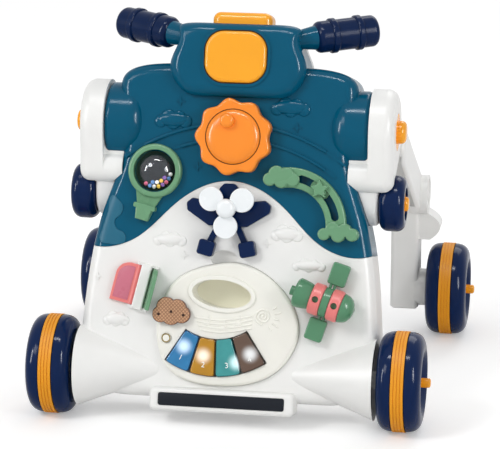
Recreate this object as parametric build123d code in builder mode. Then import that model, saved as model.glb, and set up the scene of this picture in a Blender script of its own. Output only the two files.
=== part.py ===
# Push-along baby walker: a leaning activity panel on two front wheels, a scooter-style head with
# two hand grips, two small side wheels, and two folding rear legs with a wheel each.
# A piano module lifts out of the panel; the other toys are fixed to it and turn, slide or flip.
# Frame: +X is the viewer's right, +Y runs back towards the child, +Z is up. The origin is on the
# floor, midway between the four wheels. Lengths are millimetres and angles are degrees.
from build123d import *
import os
from math import asin, atan2, cos, degrees, hypot, radians, sin

# Clearances
RUN = 0.08          # radial, a shaft in its bearing
SLIDE = 0.4         # each side, a piece that moves past another
SEAM = 0.4          # between two covers that meet
FIT = 0.1           # between pieces that are pushed together

# Stance and road wheels
WHEELBASE = 330.0
FRONT_TRACK = 364.0
REAR_TRACK = 397.0
WHEEL_R = 52.0
WHEEL_WIDTH = 46.0
RIM_DROP = 0.6          # rim shoulder below the tread band
BAND_WIDTH = 13.0
BAND_THICK = 3.5
BAND_GROOVES = 3
BAND_GROOVE_WIDTH = 0.9
BAND_GROOVE_DEPTH = 0.7
RECESS_R = 32.0         # mouth of the dish in the wheel's outer side
RECESS_DEPTH = 10.0
DISH_R = 19.5           # hub cap on the floor of that dish
RIM_LIP = 3.0
HUB_R = 11.0
WEB = 8.0               # wall behind the dish
BOSS_SET_IN = 3.0
CAP_THICK = 2.5
CAP_PEG_R = 5.0
CAP_PEG_LENGTH = 14.5
AXLE_R = 5.0

# Front panel, measured across (u) and up (v) its leaning face, and out of it (w)
LEAN = 16.0
PANEL_AHEAD = 11.0      # face ahead of the front axle, at axle height
PANEL_DEPTH = 60.0
PANEL_EDGE = 13.0
WALL = 3.0
COVER_THICK = 4.0
PANEL_BOTTOM = -26.0
PANEL_TOP = 321.0
FOOT_HALF = 104.0
BELLY_HALF = 153.5
BELLY_V = 66.0
HIP_HALF = 134.0
HIP_V = 178.0
WAIST_HALF = 118.0
WAIST_V = 238.0
SHOULDER_HALF = 123.0
SHOULDER_V = 282.0
TOP_HALF = 60.0

# Wave that parts the white lower shell from the teal upper panel
WAVE_U = -3.0
WAVE_PEAK = 201.0
WAVE_FLANK_U, WAVE_FLANK_V = 55.0, 177.0
WAVE_FOOT_U, WAVE_FOOT_V = 97.0, 138.0
WAVE_TROUGH_U, WAVE_TROUGH_V = 123.0, 128.0
WAVE_END_U, WAVE_END_V = 172.0, 146.0

# Trumpet-shaped axle housings and name block at the foot of the panel
TRUMPET_IN = 70.0
TRUMPET_IN_R = 11.0
TRUMPET_MID = 112.0
TRUMPET_MID_R = 25.5
TRUMPET_OUT = 155.0
TRUMPET_OUT_R = 42.0
TRUMPET_CUP = 45.0      # depth of the open end
BOSS_R = 9.0
BLOCK_HALF = 75.0
BLOCK_BOTTOM = -38.0
BLOCK_TOP = -14.0
BLOCK_PROUD = 20.0
BLOCK_EDGE = 5.0
PLATE_LENGTH = 132.0
PLATE_HEIGHT = 14.0
PLATE_DEPTH = 0.8

# Relief on the panel
RELIEF = 1.4
TWINKLE_WAIST = 0.24    # inner over outer radius of a four-pointed star
ARCH_V = 70.0
ARCH_RADII = (190.0, 174.0)
ARCH_RIB = 2.6
ARCH_SPAN = 74.0
TEAL_CLOUDS = ((56.0, 279.0, 40.0, 19.0), (-66.0, 262.0, 38.0, 19.0))
TEAL_STARS = ((-59.0, 281.0, 5.0), (64.0, 258.0, 5.0), (-38.0, 214.0, 5.0))
WHITE_CLOUDS = ((-64.0, 138.0, 34.0, 15.0), (58.0, 149.0, 32.0, 17.0))
WHITE_STARS = ((-48.0, 122.0, 4.5), (38.0, 138.0, 5.0), (-138.0, 96.0, 4.5))

# Leg pivot, shoulder and pod
PIVOT_V = 259.0
PIVOT_W = -32.0
SHOULDER_IN = 96.0
SHOULDER_OUT = 138.0
SHOULDER_R = 41.0
SHOULDER_DOME = 20.0
SHOULDER_EDGE = 5.0
POD_R = 44.0
POD_WIDTH = 26.0
POD_EDGE = 11.0
POD_PLATE = 3.0         # inner wall of the fork that holds the leg
POD_FACE = 9.5          # outer wall, which also holds the lock button
LIMB_IN = 118.0
LIMB_OUT = 148.5
LIMB_TOP_R = 33.0
LIMB_LOW_R = 24.0
APRON_AHEAD = 29.0      # lower end of the pod's face, which curves over the side wheel
APRON_DROP = 42.0
APRON_R = 16.0
ARCH_ROOM = 2.0
PIN_R = 6.0

# Small side wheels
SIDE_AHEAD = 13.0
SIDE_DROP = 73.0
SIDE_R = 29.0
SIDE_WIDTH = 26.5
SIDE_EDGE = 9.0
SIDE_DISH_R = 17.0
SIDE_DISH_DEPTH = 5.0
SIDE_PEG_R = 7.5
SIDE_PEG_PROUD = 3.0

# Rear legs
FOLD = 25.0
BLADE_HUB_R = 23.0
ARM_R = 20.0
ELBOW_R = 22.0
ELBOW_AHEAD = 13.0
ELBOW_Z = 165.0
POST_GAP = 9.5          # between the post and the rear wheel
ARM_WIDTH = 34.0
POST_WIDTH = 32.0
POST_DEPTH = 36.0
POST_BOTTOM = 30.0
LEG_EDGE = 5.0
CHANNEL_WALL = 4.0
EAR_PROUD = 8.0
EAR_RIM = 3.5
EAR_DISH = 2.0
HEEL_REACH = 22.0
HEEL_LOW = 112.0
HEEL_HIGH = 152.0
SPACER_R = 21.0

# Lock button on each pod
LOCK_DISC_R = 19.0
LOCK_DISC = 2.0
LOCK_KNOB_R = 12.0
LOCK_PROUD = 9.0
LOCK_TRAVEL = 3.5

# Head and its two push buttons
HEAD_BOTTOM = 287.0
HEAD_CHIN = 38.0
HEAD_JAW, HEAD_JAW_V = 63.0, 298.0
HEAD_HALF = 71.0
HEAD_CHEEK_V = 321.0
HEAD_BROW, HEAD_BROW_V = 62.0, 349.0
HEAD_TOP = 363.0
HEAD_TOP_HALF = 38.0
HEAD_PROUD = 15.0
HEAD_EDGE = 12.0
HEAD_SPLIT = -44.0
HEAD_BACK = -76.0
HEAD_BACK_EDGE = 18.0
HEAD_WALL = 10.0
HEAD_FRONT_WALL = 13.0
LAMP_U, LAMP_V = -1.0, 328.0
LAMP_WIDTH = 64.0
LAMP_HEIGHT = 53.0
LAMP_CORNER = 20.0
LAMP_PROUD = 5.0
LAMP_EDGE = 4.0
LAMP_RIM = 4.0
LAMP_RIM_PROUD = 1.5
LAMP_POCKET = 9.0
HORN_U, HORN_W = 2.0, -12.0
HORN_WIDTH = 62.0
HORN_DEPTH = 34.0
HORN_PROUD = 12.0
HORN_EDGE = 8.0
HORN_POCKET = 7.0
PUSH = 3.0              # travel of both head buttons

# Handlebar and grips
STEM_U, STEM_V, STEM_W = 40.0, 346.0, -6.5
STEM_SWEEP = 28.0       # turned back from straight out
STEM_RISE = 2.9
STEM_R = 8.0
STEM_LENGTH = 100.0
GRIP_START = 39.0
GRIP_LENGTH = 68.0
GRIP_R = 16.5
GRIP_EDGE = 6.0
GRIP_RINGS = (16.0, 44.0)
GRIP_RING_R = 18.3
GRIP_RING_WIDTH = 7.0

# Sun spinner
SUN_U, SUN_V = 0.0, 246.0
SUN_R = 40.2
SUN_SCALLOP = 4.2
SUN_RAYS = 9
SUN_TURN = 20.0
SUN_LIFT = 4.0
SUN_THICK = 14.0
SUN_EDGE = 3.0
SUN_CAP_R = 28.0
SUN_CAP_SINK = 6.0
SUN_CAP_DOME = 5.0
SUN_PEG_OUT, SUN_PEG_ANGLE = 17.0, 109.0
SUN_PEG_R = 7.5
SUN_PEG_HEIGHT = 13.0
SPINDLE_R = 5.0
SEAT_R = 10.0

# Hot-air balloon rattle
BALLOON_U, BALLOON_V, BALLOON_TURN = -82.0, 208.0, -13.0
BALLOON_R = 28.0
BALLOON_THICK = 9.0
DOME_R = 22.0
DOME_HEIGHT = 14.0
DOME_WALL = 1.5
BEAD_R = 2.4
BEAD_ROWS = ((15.0, 7), (9.4, 4))
BEAD_PITCH = 5.4
BASKET_DROP = 45.7
BASKET_WIDTH = 18.0
BASKET_HEIGHT = 14.0
BASKET_PROUD = 11.0
BASKET_RIM = 5.0

# Rainbow slider
RAINBOW_U, RAINBOW_V = 60.0, 158.0
TRACK_R = 49.0
TRACK_WIDTH = 21.0
TRACK_PROUD = 10.0
TRACK_ROOF = 4.0
TRACK_START, TRACK_SPAN = 0.0, 98.0
CHANNEL_WIDTH = 14.0
CHANNEL_START, CHANNEL_SPAN = 12.0, 64.0
SLOT_WIDTH = 8.0
END_CLOUDS = ((-9.0, 49.0, 38.0, 23.0), (52.0, -5.0, 42.0, 21.0))
END_CLOUD_PROUD = 13.0
STAR_ANGLE = 50.7
STAR_R = 10.0
STAR_SHOE = 10.0        # angle along the track
STAR_THICK = 4.5

# Aeroplane with a turning propeller
CRAFT_U, CRAFT_V = -3.0, 172.0
WING_HALF = 44.0
WING_ROOT_TOP = 7.0
WING_TIP_TOP = 10.0
WING_TIP_LOW = -3.0
WING_ROOT_LOW = -18.0
WING_ROOT_HALF = 20.0
WING_PROUD = 8.0
WING_ROUND = 3.5
FLOAT_U, FLOAT_V, FLOAT_TURN = 21.5, -41.0, 13.0
FLOAT_WIDTH = 17.0
FLOAT_HEIGHT = 16.0
FLOAT_PROUD = 11.0
STRUT_WIDTH = 7.0
TAIL_HALF = 11.0
TAIL_TOP = 26.0
TAIL_ROUND = 4.5
NOSE_R = 10.0
NOSE_PROUD = 20.0
PROP_BLADES = 3
PROP_BLADE_R = 12.5
PROP_BLADE_OUT = 18.5
PROP_BLADE_THICK = 3.0
PROP_HUB_R = 10.0
PROP_HUB_HEIGHT = 11.0
PROP_HUB_DOME = 6.0
PROP_SPINDLE_R = 2.5

# Flip book
BOOK_U, BOOK_V, BOOK_TURN = -90.0, 87.6, -12.5
SPINE_WIDTH = 11.0
SPINE_LENGTH = 48.0
SPINE_PROUD = 9.0
LUG = 2.6
PAGE_PIN_R = 1.2
KNUCKLE_R = 2.5
PAGE_LIFT = 3.0         # hinge line above the panel
PAGE_WIDTH = 23.0
PAGE_THICK = 4.4
PAGE_CORNER = 14.0
GREEN_PAGE_REST = 75.0

# Barrel bee with two turning rings
BEE_U, BEE_V, BEE_TURN = 104.0, 81.0, -17.0
BEE_AXIS_W = 17.5
RING_R = 16.5
RING_BORE_R = 12.0
RING_WIDTH = 12.0
RING_EDGE = 2.5
RING_HOLE_R = 3.4
COLLAR_R = 15.2
COLLAR_WIDTH = 7.4
BEE_HEAD_LENGTH = 17.0
BEE_TAIL_LENGTH = 13.0
NUB_R = 5.0
FOOT_R = 5.5
WING_PLATE_WIDTH = 18.5
WING_PLATE_LENGTH = 23.0
WING_PLATE_THICK = 8.0
WING_PLATE_GAP = 2.5
WING_PLATE_EDGE = 2.5
WING_STAGGER = 2.0
WING_PIN_R = 1.5
WING_PIN_GAP = 4.4

# Lift-off piano module
PIANO_U, PIANO_V = 0.0, 52.0
PIANO_OUTLINE = (
    (-7.5, 116.0), (50.0, 97.0), (75.0, 48.0), (53.0, 6.0),
    (-2.0, -11.0), (-60.0, 5.0), (-73.0, 50.0), (-52.0, 99.0),
)
POCKET_DEPTH = 24.0
PIANO_PROUD = 6.0
PIANO_EDGE = 4.0
PIANO_WALL = 2.5
PIANO_DECK = 11.0
PIANO_BASE = 3.0
GRASP_U, GRASP_V, GRASP_TURN = -6.0, 84.0, -5.0
GRASP_HALF_WIDTH = 31.0
GRASP_HALF_HEIGHT = 14.5
GRASP_RIM = 5.0
GRASP_RIM_PROUD = 2.5
NOTCH_V = 120.0
NOTCH_HALF_WIDTH = 14.0
NOTCH_HALF_HEIGHT = 9.0
NOTCH_DEPTH = 8.0
KEY_U, KEY_V = -11.0, 95.6
KEY_IN_R = 58.5
KEY_OUT_R = 97.0
KEY_EDGES = (-32.0, -15.5, 1.0, 17.5, 34.0)
KEY_GAP = 0.9
KEY_PROUD = 3.5
KEY_SUNK = 5.0
KEY_EDGE = 1.8
KEY_CORNER = 3.0
KEY_FLOOR = 3.0         # deck left under the keys
KEY_BARREL_R = 1.6
KEY_BARREL_LENGTH = 13.0
PUFF_U, PUFF_V, PUFF_WIDTH, PUFF_HEIGHT = -57.0, 64.0, 40.0, 29.0
PUFF_THICK = 5.0
PUFF_STEM = (13.0, 9.0)
PUFF_TRAVEL = 2.0
MODE_U, MODE_V, MODE_R = -62.0, 36.0, 5.0
MODE_PROUD = 2.5
MODE_TRAVEL = 1.5
CELL_R = 7.1
CELL_LENGTH = 50.0
CELLS = 3
CELL_GAP = 1.2
CELL_V = 6.0
DOOR_SIZE = (58.0, 50.0)
DOOR_U, DOOR_V = 0.0, 22.0
SPEAKER_U, SPEAKER_V, SPEAKER_R, SPEAKER_DEEP = 47.0, 58.0, 14.0, 7.0
BOARD_U, BOARD_V, BOARD_SIZE, BOARD_THICK = -46.0, 40.0, (22.0, 44.0), 1.6

# Screws that hold the back cover
POST_R = 4.0
SCREW_R = 1.5
SCREW_HEAD_R = 3.4
SCREW_HEAD = 2.2
SCREW_LENGTH = 16.0
LOW_SCREWS = ((-124.0, 62.0), (124.0, 62.0), (-112.0, 108.0), (112.0, 108.0))
HIGH_SCREWS = ((-92.0, 190.0), (92.0, 190.0), (-74.0, 296.0), (74.0, 296.0))

# Worked out from the sizes above
FRONT_Y = -WHEELBASE / 2
REAR_Y = WHEELBASE / 2
FAR = 200.0
LEAN_SIN = sin(radians(LEAN))
LEAN_COS = cos(radians(LEAN))
PANEL = Plane(
    origin=(0, FRONT_Y - PANEL_AHEAD, WHEEL_R), x_dir=(1, 0, 0), z_dir=(0, -LEAN_COS, LEAN_SIN)
)
OUTWARD = Axis(PANEL.origin, PANEL.z_dir)
UP_PANEL = Axis(PANEL.origin, PANEL.y_dir)


def panel_point(u, v, w=0.0):
    """World position of a point given across, up and out of the panel."""
    return PANEL.from_local_coords(Vector(u, v, w))


def panel_plane(u, v, w=0.0, turn=0.0):
    """A plane parallel to the panel, centred on a toy and turned in the panel."""
    across = PANEL.x_dir * cos(radians(turn)) + PANEL.y_dir * sin(radians(turn))
    return Plane(origin=panel_point(u, v, w), x_dir=across, z_dir=PANEL.z_dir)


def side_on(plane):
    """The plane that holds a revolved profile: across is the radius, up is the panel's normal."""
    return Plane(origin=plane.origin, x_dir=plane.x_dir, z_dir=-plane.y_dir)


PIVOT = panel_point(0, PIVOT_V, PIVOT_W)
SIDE_Y = PIVOT.Y - SIDE_AHEAD
SIDE_Z = PIVOT.Z - SIDE_DROP
ELBOW_Y = REAR_Y - ELBOW_AHEAD
POD_OUT = SHOULDER_OUT + SEAM + POD_WIDTH
SLOT_IN = SHOULDER_OUT + SEAM + POD_PLATE
SLOT_OUT = POD_OUT - POD_FACE
LEG_IN = REAR_TRACK / 2 - WHEEL_WIDTH / 2 - POST_GAP - POST_WIDTH

SUN = panel_plane(SUN_U, SUN_V)
BALLOON = panel_plane(BALLOON_U, BALLOON_V, turn=BALLOON_TURN)
RAINBOW = panel_plane(RAINBOW_U, RAINBOW_V)
CRAFT = panel_plane(CRAFT_U, CRAFT_V)
BOOK = panel_plane(BOOK_U, BOOK_V, turn=BOOK_TURN)
BEE = panel_plane(BEE_U, BEE_V, BEE_AXIS_W, BEE_TURN)

os.makedirs("parts", exist_ok=True)


def save(piece, name):
    """Label a finished piece and write it to a file of its own."""
    piece.part.label = name
    export_step(piece.part, f"parts/{name}.step")


def save_pair(piece, name):
    """Write a right-hand piece and its mirror image."""
    save(piece, f"right_{name}")
    image = mirror(piece.part, about=Plane.YZ)
    with BuildPart() as twin:
        add(image)
    save(twin, f"left_{name}")


def both_sides(solid):
    """A solid and its mirror image."""
    return [solid, mirror(solid, about=Plane.YZ)]


def cloud(width, height):
    """Five round puffs that fill the given width and height."""
    puffs = (
        (-width / 2 + 0.30 * height, -0.12, 0.30),
        (-0.14 * width, 0.14, 0.36),
        (0.15 * width, 0.10, 0.34),
        (width / 2 - 0.32 * height, -0.10, 0.32),
        (0, -0.16, 0.34),
    )
    for across, up, puff in puffs:
        with Locations((across, up * height)):
            Circle(puff * height)


def arc_slot(radius, width, start, span, centre=(0.0, 0.0)):
    """A round-ended slot that follows an arc."""
    half = width / 2
    end = start + span
    with BuildLine() as edge:
        CenterArc(centre, radius + half, start, span)
        CenterArc(centre, radius - half, start, span)
        for angle, opens in ((start, start - 180), (end, end)):
            tip = (centre[0] + radius * cos(radians(angle)), centre[1] + radius * sin(radians(angle)))
            CenterArc(tip, half, opens, 180)
    make_face(edge.edges())


def star(radius, points=5, waist=0.52):
    """A star with one point straight up."""
    step = 180 / points
    corners = []
    for corner in range(2 * points):
        reach = radius if corner % 2 == 0 else radius * waist
        turn = radians(90 + corner * step)
        corners.append((reach * cos(turn), reach * sin(turn)))
    Polygon(*corners, align=None)


def panel_outline(grow=0.0):
    """Outline of the front panel, grown all round."""
    with BuildLine() as edge:
        foot = Line((0, PANEL_BOTTOM - grow), (FOOT_HALF, PANEL_BOTTOM - grow))
        flank = Spline(
            foot @ 1,
            (BELLY_HALF + grow, BELLY_V),
            (HIP_HALF + grow, HIP_V),
            (WAIST_HALF + grow, WAIST_V),
            (SHOULDER_HALF + grow, SHOULDER_V),
            (TOP_HALF, PANEL_TOP + grow),
            tangents=[(1, 0), (-1, 0)],
        )
        Line(flank @ 1, (0, PANEL_TOP + grow))
        mirror(about=Plane.YZ)
    make_face(edge.edges())


def panel_block(grow=0.0, back=PANEL_DEPTH):
    """The panel as a filled block with a rounded front edge, grown all round."""
    with BuildPart() as block:
        with BuildSketch(PANEL.offset(grow)):
            panel_outline(grow)
        extrude(amount=-(back + grow))
        fillet(block.faces().sort_by(OUTWARD)[-1].edges(), PANEL_EDGE + grow)
    return block.part


def hollow_panel():
    """The panel's shell, open at the back."""
    block = panel_block()
    cavity = panel_block(-WALL, PANEL_DEPTH + WALL)
    with BuildPart() as shell:
        add(block)
        add(cavity, mode=Mode.SUBTRACT)
    return shell.part


def above_wave(drop=0.0):
    """Everything above the wave, which can be lowered to leave a seam."""
    points = [(0, WAVE_PEAK)]
    for across, up in (
        (WAVE_FLANK_U, WAVE_FLANK_V),
        (WAVE_FOOT_U, WAVE_FOOT_V),
        (WAVE_TROUGH_U, WAVE_TROUGH_V),
        (WAVE_END_U, WAVE_END_V),
    ):
        points = [(-across, up)] + points + [(across, up)]
    with BuildLine() as edge:
        crest = Spline(*[(WAVE_U + u, v - drop) for u, v in points])
        Polyline(
            crest @ 1,
            (WAVE_U + WAVE_END_U, PANEL_TOP + FAR),
            (WAVE_U - WAVE_END_U, PANEL_TOP + FAR),
            crest @ 0,
        )
    make_face(edge.edges())


def shoulder(grow=0.0):
    """Right-hand drum at the top corner of the panel, which carries the pod."""
    with BuildPart() as drum:
        with BuildSketch(Plane.YZ.offset(SHOULDER_IN - grow)):
            with Locations((PIVOT.Y, PIVOT.Z)):
                Circle(SHOULDER_R + grow)
        extrude(amount=SHOULDER_OUT - SHOULDER_IN + 2 * grow)
        fillet(drum.faces().sort_by(Axis.X)[0].edges(), SHOULDER_DOME + grow)
        fillet(drum.faces().sort_by(Axis.X)[-1].edges(), SHOULDER_EDGE)
    return drum.part


def trumpet(filled=False):
    """Right-hand axle housing: a flared cup round the axle boss, or its outside filled in."""
    centre = Plane(origin=(0, FRONT_Y, WHEEL_R))
    boss_end = FRONT_TRACK / 2 - WHEEL_WIDTH / 2 + BOSS_SET_IN - SLIDE
    with BuildPart() as housing:
        with BuildSketch(centre):
            with BuildLine():
                flare = Spline(
                    (TRUMPET_IN, TRUMPET_IN_R),
                    (TRUMPET_MID, TRUMPET_MID_R),
                    (TRUMPET_OUT, TRUMPET_OUT_R),
                )
                if filled:
                    clear_of_panel = TRUMPET_OUT + TRUMPET_CUP / 3
                    Polyline(
                        flare @ 1, (clear_of_panel, TRUMPET_OUT_R), (clear_of_panel, 0), (TRUMPET_IN, 0),
                        flare @ 0,
                    )
                else:
                    Polyline(
                        flare @ 1,
                        (TRUMPET_OUT, TRUMPET_OUT_R - WALL),
                        (TRUMPET_OUT - TRUMPET_CUP, TRUMPET_MID_R - 2 * WALL),
                        (TRUMPET_OUT - TRUMPET_CUP, BOSS_R),
                        (boss_end, BOSS_R),
                        (boss_end, AXLE_R + FIT),
                        (TRUMPET_IN + WALL, AXLE_R + FIT),
                        (TRUMPET_IN + WALL, 0),
                        (TRUMPET_IN, 0),
                        flare @ 0,
                    )
            make_face()
        revolve(axis=Axis(centre.origin, (1, 0, 0)))
    return housing.part


def piano_outline(grow=0.0):
    """Outline of the piano module, grown outwards from its middle."""
    points = []
    for u, v in PIANO_OUTLINE:
        reach = hypot(u - PIANO_U, v - PIANO_V)
        stretch = 1 + grow / reach
        points.append((PIANO_U + (u - PIANO_U) * stretch, PIANO_V + (v - PIANO_V) * stretch))
    with BuildLine() as edge:
        Spline(*points, periodic=True)
    make_face(edge.edges())


def screw_posts(spots):
    """Posts inside the panel that the back cover's screws bite into."""
    with BuildPart() as posts:
        with BuildSketch(PANEL.offset(-WALL / 2)):
            with Locations(*spots):
                Circle(POST_R)
                Circle(SCREW_R, mode=Mode.SUBTRACT)
        extrude(amount=-(PANEL_DEPTH - WALL / 2))
    return posts.part


panel_shell = hollow_panel()
shoulders = both_sides(shoulder())
shoulder_room = both_sides(shoulder(SEAM))
trumpets = both_sides(trumpet())
trumpet_room = both_sides(trumpet(filled=True))
low_posts = screw_posts(LOW_SCREWS)
high_posts = screw_posts(HIGH_SCREWS)

# White lower shell: pocket for the piano, axle housings and name block
with BuildPart() as front_shell:
    add(panel_shell)
    with BuildSketch(PANEL.offset(FAR)):
        above_wave(SEAM)
    extrude(amount=-2 * FAR, mode=Mode.SUBTRACT)
    with BuildSketch(PANEL.offset(-WALL / 2)):
        piano_outline(SLIDE + WALL)
    extrude(amount=-(POCKET_DEPTH + WALL / 2))
    with BuildSketch(PANEL.offset(-WALL / 2)):
        with Locations((GRASP_U, NOTCH_V)):
            Ellipse(NOTCH_HALF_WIDTH + WALL, NOTCH_HALF_HEIGHT + WALL)
    extrude(amount=-(NOTCH_DEPTH + WALL / 2))
    add(trumpet_room, mode=Mode.SUBTRACT)
    add(trumpets)
    with BuildSketch(PANEL.offset(BLOCK_PROUD)):
        with Locations((0, (BLOCK_TOP + BLOCK_BOTTOM) / 2)):
            RectangleRounded(2 * BLOCK_HALF, BLOCK_TOP - BLOCK_BOTTOM, BLOCK_EDGE)
    extrude(amount=-(BLOCK_PROUD + PANEL_EDGE))
    fillet(front_shell.faces(Select.LAST).sort_by(OUTWARD)[-1].edges(), BLOCK_EDGE - FIT)
    add(low_posts)
    with BuildSketch(PANEL.offset(-WALL / 2)):
        for u, v, width, height in WHITE_CLOUDS:
            with Locations((u, v)):
                cloud(width, height)
        for u, v, radius in WHITE_STARS:
            with Locations((u, v)):
                star(radius, 4, TWINKLE_WAIST)
    extrude(amount=RELIEF + WALL / 2)
    with BuildSketch(PANEL.offset(FAR)):
        piano_outline(SLIDE)
    extrude(amount=-(FAR + POCKET_DEPTH), mode=Mode.SUBTRACT)
    with BuildSketch(PANEL.offset(FAR)):
        with Locations((GRASP_U, NOTCH_V)):
            Ellipse(NOTCH_HALF_WIDTH, NOTCH_HALF_HEIGHT)
    extrude(amount=-(FAR + NOTCH_DEPTH), mode=Mode.SUBTRACT)
    with BuildSketch(PANEL.offset(BLOCK_PROUD)):
        with Locations((0, (BLOCK_TOP + BLOCK_BOTTOM) / 2)):
            RectangleRounded(PLATE_LENGTH, PLATE_HEIGHT, BLOCK_EDGE / 2)
    extrude(amount=-PLATE_DEPTH, mode=Mode.SUBTRACT)
save(front_shell, "front_shell")

# Teal upper panel with its two shoulders, the sun's spindle and the raised sky
with BuildPart() as upper_panel:
    add(panel_shell)
    with BuildSketch(PANEL.offset(FAR)):
        above_wave()
    extrude(amount=-2 * FAR, mode=Mode.INTERSECT)
    add(shoulders)
    add(high_posts)
    with BuildSketch(PANEL.offset(-WALL / 2)):
        for radius in ARCH_RADII:
            arc_slot(radius, ARCH_RIB, 90 - ARCH_SPAN / 2, ARCH_SPAN, (0, ARCH_V))
        for u, v, width, height in TEAL_CLOUDS:
            with Locations((u, v)):
                cloud(width, height)
        for u, v, radius in TEAL_STARS:
            with Locations((u, v)):
                star(radius, 4, TWINKLE_WAIST)
        with Locations((BALLOON_U, BALLOON_V)):
            Circle(BALLOON_R + 1, mode=Mode.SUBTRACT)
    extrude(amount=RELIEF + WALL / 2)
    with BuildSketch(SUN.offset(-WALL / 2)):
        Circle(SEAT_R)
    extrude(amount=SUN_LIFT - SLIDE + WALL / 2)
    with BuildSketch(SUN.offset(-WALL / 2)):
        Circle(SPINDLE_R)
    extrude(amount=SUN_LIFT + SUN_THICK - SUN_CAP_SINK - SLIDE + WALL / 2)
save(upper_panel, "upper_panel")

# White back cover, cut round the shoulders
with BuildPart() as back_cover:
    with BuildSketch(PANEL.offset(-PANEL_DEPTH)):
        panel_outline()
    extrude(amount=-COVER_THICK)
    fillet(back_cover.faces().sort_by(OUTWARD)[0].edges(), COVER_THICK - 1)
    with BuildSketch(PANEL.offset(-PANEL_DEPTH)):
        with Locations(*LOW_SCREWS, *HIGH_SCREWS):
            Circle(SCREW_R + FIT)
    extrude(amount=-COVER_THICK, mode=Mode.SUBTRACT)
    add(shoulder_room, mode=Mode.SUBTRACT)
    add(trumpet_room, mode=Mode.SUBTRACT)
save(back_cover, "back_cover")

# Screws, one group
with BuildPart() as cover_screws:
    with BuildSketch(PANEL.offset(-(PANEL_DEPTH + COVER_THICK))):
        with Locations(*LOW_SCREWS, *HIGH_SCREWS):
            Circle(SCREW_HEAD_R)
    extrude(amount=-SCREW_HEAD)
    fillet(cover_screws.edges().group_by(OUTWARD)[0], SCREW_HEAD / 2)
    with BuildSketch(PANEL.offset(-(PANEL_DEPTH + COVER_THICK))):
        with Locations(*LOW_SCREWS, *HIGH_SCREWS):
            Circle(SCREW_R - FIT)
    extrude(amount=SCREW_LENGTH)
save(cover_screws, "cover_screws")

# Steel stub axles of the front wheels, one group
axle_in = TRUMPET_IN + WALL + SLIDE
axle_out = FRONT_TRACK / 2 + WHEEL_WIDTH / 2 - RECESS_DEPTH - SLIDE
with BuildPart() as right_axle:
    with BuildSketch(Plane.YZ.offset(axle_in)):
        with Locations((FRONT_Y, WHEEL_R)):
            Circle(AXLE_R)
    extrude(amount=axle_out - axle_in)
    chamfer(right_axle.edges(), AXLE_R / 8)
axle_pair = both_sides(right_axle.part)
with BuildPart() as front_axles:
    add(axle_pair)
save(front_axles, "front_axles")


def wheel_plane(track, y, side):
    """Centre of a road wheel, with x pointing out of the walker."""
    return Plane(origin=(side * track / 2, y, WHEEL_R), x_dir=(side, 0, 0), z_dir=(0, 0, 1))


def make_wheel(plane, name):
    """A moulded wheel, its tread band and its hub cap."""
    spin = Axis(plane.origin, plane.x_dir)
    half = WHEEL_WIDTH / 2
    floor = half - RECESS_DEPTH
    shoulder_r = WHEEL_R - RIM_DROP
    groove_r = WHEEL_R - BAND_THICK
    groove_half = BAND_WIDTH / 2 + FIT
    bore = AXLE_R + RUN
    with BuildPart() as rim:
        with BuildSketch(plane):
            with BuildLine():
                outer = Spline(
                    (half, RECESS_R + RIM_LIP), (groove_half + 1, shoulder_r), tangents=[(0, 1), (-1, 0)]
                )
                Polyline(
                    outer @ 1,
                    (groove_half, shoulder_r - 1),
                    (groove_half, groove_r),
                    (-groove_half, groove_r),
                    (-groove_half, shoulder_r - 1),
                    (-groove_half - 1, shoulder_r),
                )
                inner = Spline(
                    (-groove_half - 1, shoulder_r), (-half, RECESS_R + RIM_LIP), tangents=[(-1, 0), (0, -1)]
                )
                Polyline(
                    inner @ 1,
                    (-half, RECESS_R),
                    (floor - WEB, RECESS_R),
                    (floor - WEB, HUB_R),
                    (-half + BOSS_SET_IN, HUB_R),
                    (-half + BOSS_SET_IN, bore),
                    (floor, bore),
                    (floor, DISH_R + FIT),
                    (half - RIM_LIP / 2, RECESS_R),
                    outer @ 0,
                )
            make_face()
        revolve(axis=spin)
    save(rim, f"{name}_rim")
    with BuildPart() as band:
        with BuildSketch(plane):
            with Locations((0, WHEEL_R - BAND_THICK / 2)):
                Rectangle(BAND_WIDTH, BAND_THICK)
            with Locations((0, WHEEL_R)):
                with GridLocations(BAND_WIDTH / (BAND_GROOVES + 1), 1, BAND_GROOVES, 1):
                    Rectangle(BAND_GROOVE_WIDTH, 2 * BAND_GROOVE_DEPTH, mode=Mode.SUBTRACT)
        revolve(axis=spin)
    save(band, f"{name}_band")
    with BuildPart() as cap:
        with BuildSketch(plane):
            with BuildLine():
                Polyline(
                    (floor, 0), (floor, DISH_R), (floor + CAP_THICK, DISH_R - CAP_THICK),
                    (floor + CAP_THICK, CAP_PEG_R + CAP_THICK), (floor + 2 * CAP_THICK, CAP_PEG_R),
                    (floor + CAP_PEG_LENGTH, CAP_PEG_R),
                )
                Spline(
                    (floor + CAP_PEG_LENGTH, CAP_PEG_R),
                    (floor + CAP_PEG_LENGTH + CAP_THICK, 0),
                    tangents=[(1, 0), (0, -1)],
                )
                Line((floor + CAP_PEG_LENGTH + CAP_THICK, 0), (floor, 0))
            make_face()
        revolve(axis=spin)
    save(cap, f"{name}_cap")


for side, hand in ((1, "right"), (-1, "left")):
    make_wheel(wheel_plane(FRONT_TRACK, FRONT_Y, side), f"front_{hand}")
    make_wheel(wheel_plane(REAR_TRACK, REAR_Y, side), f"rear_{hand}")

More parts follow.
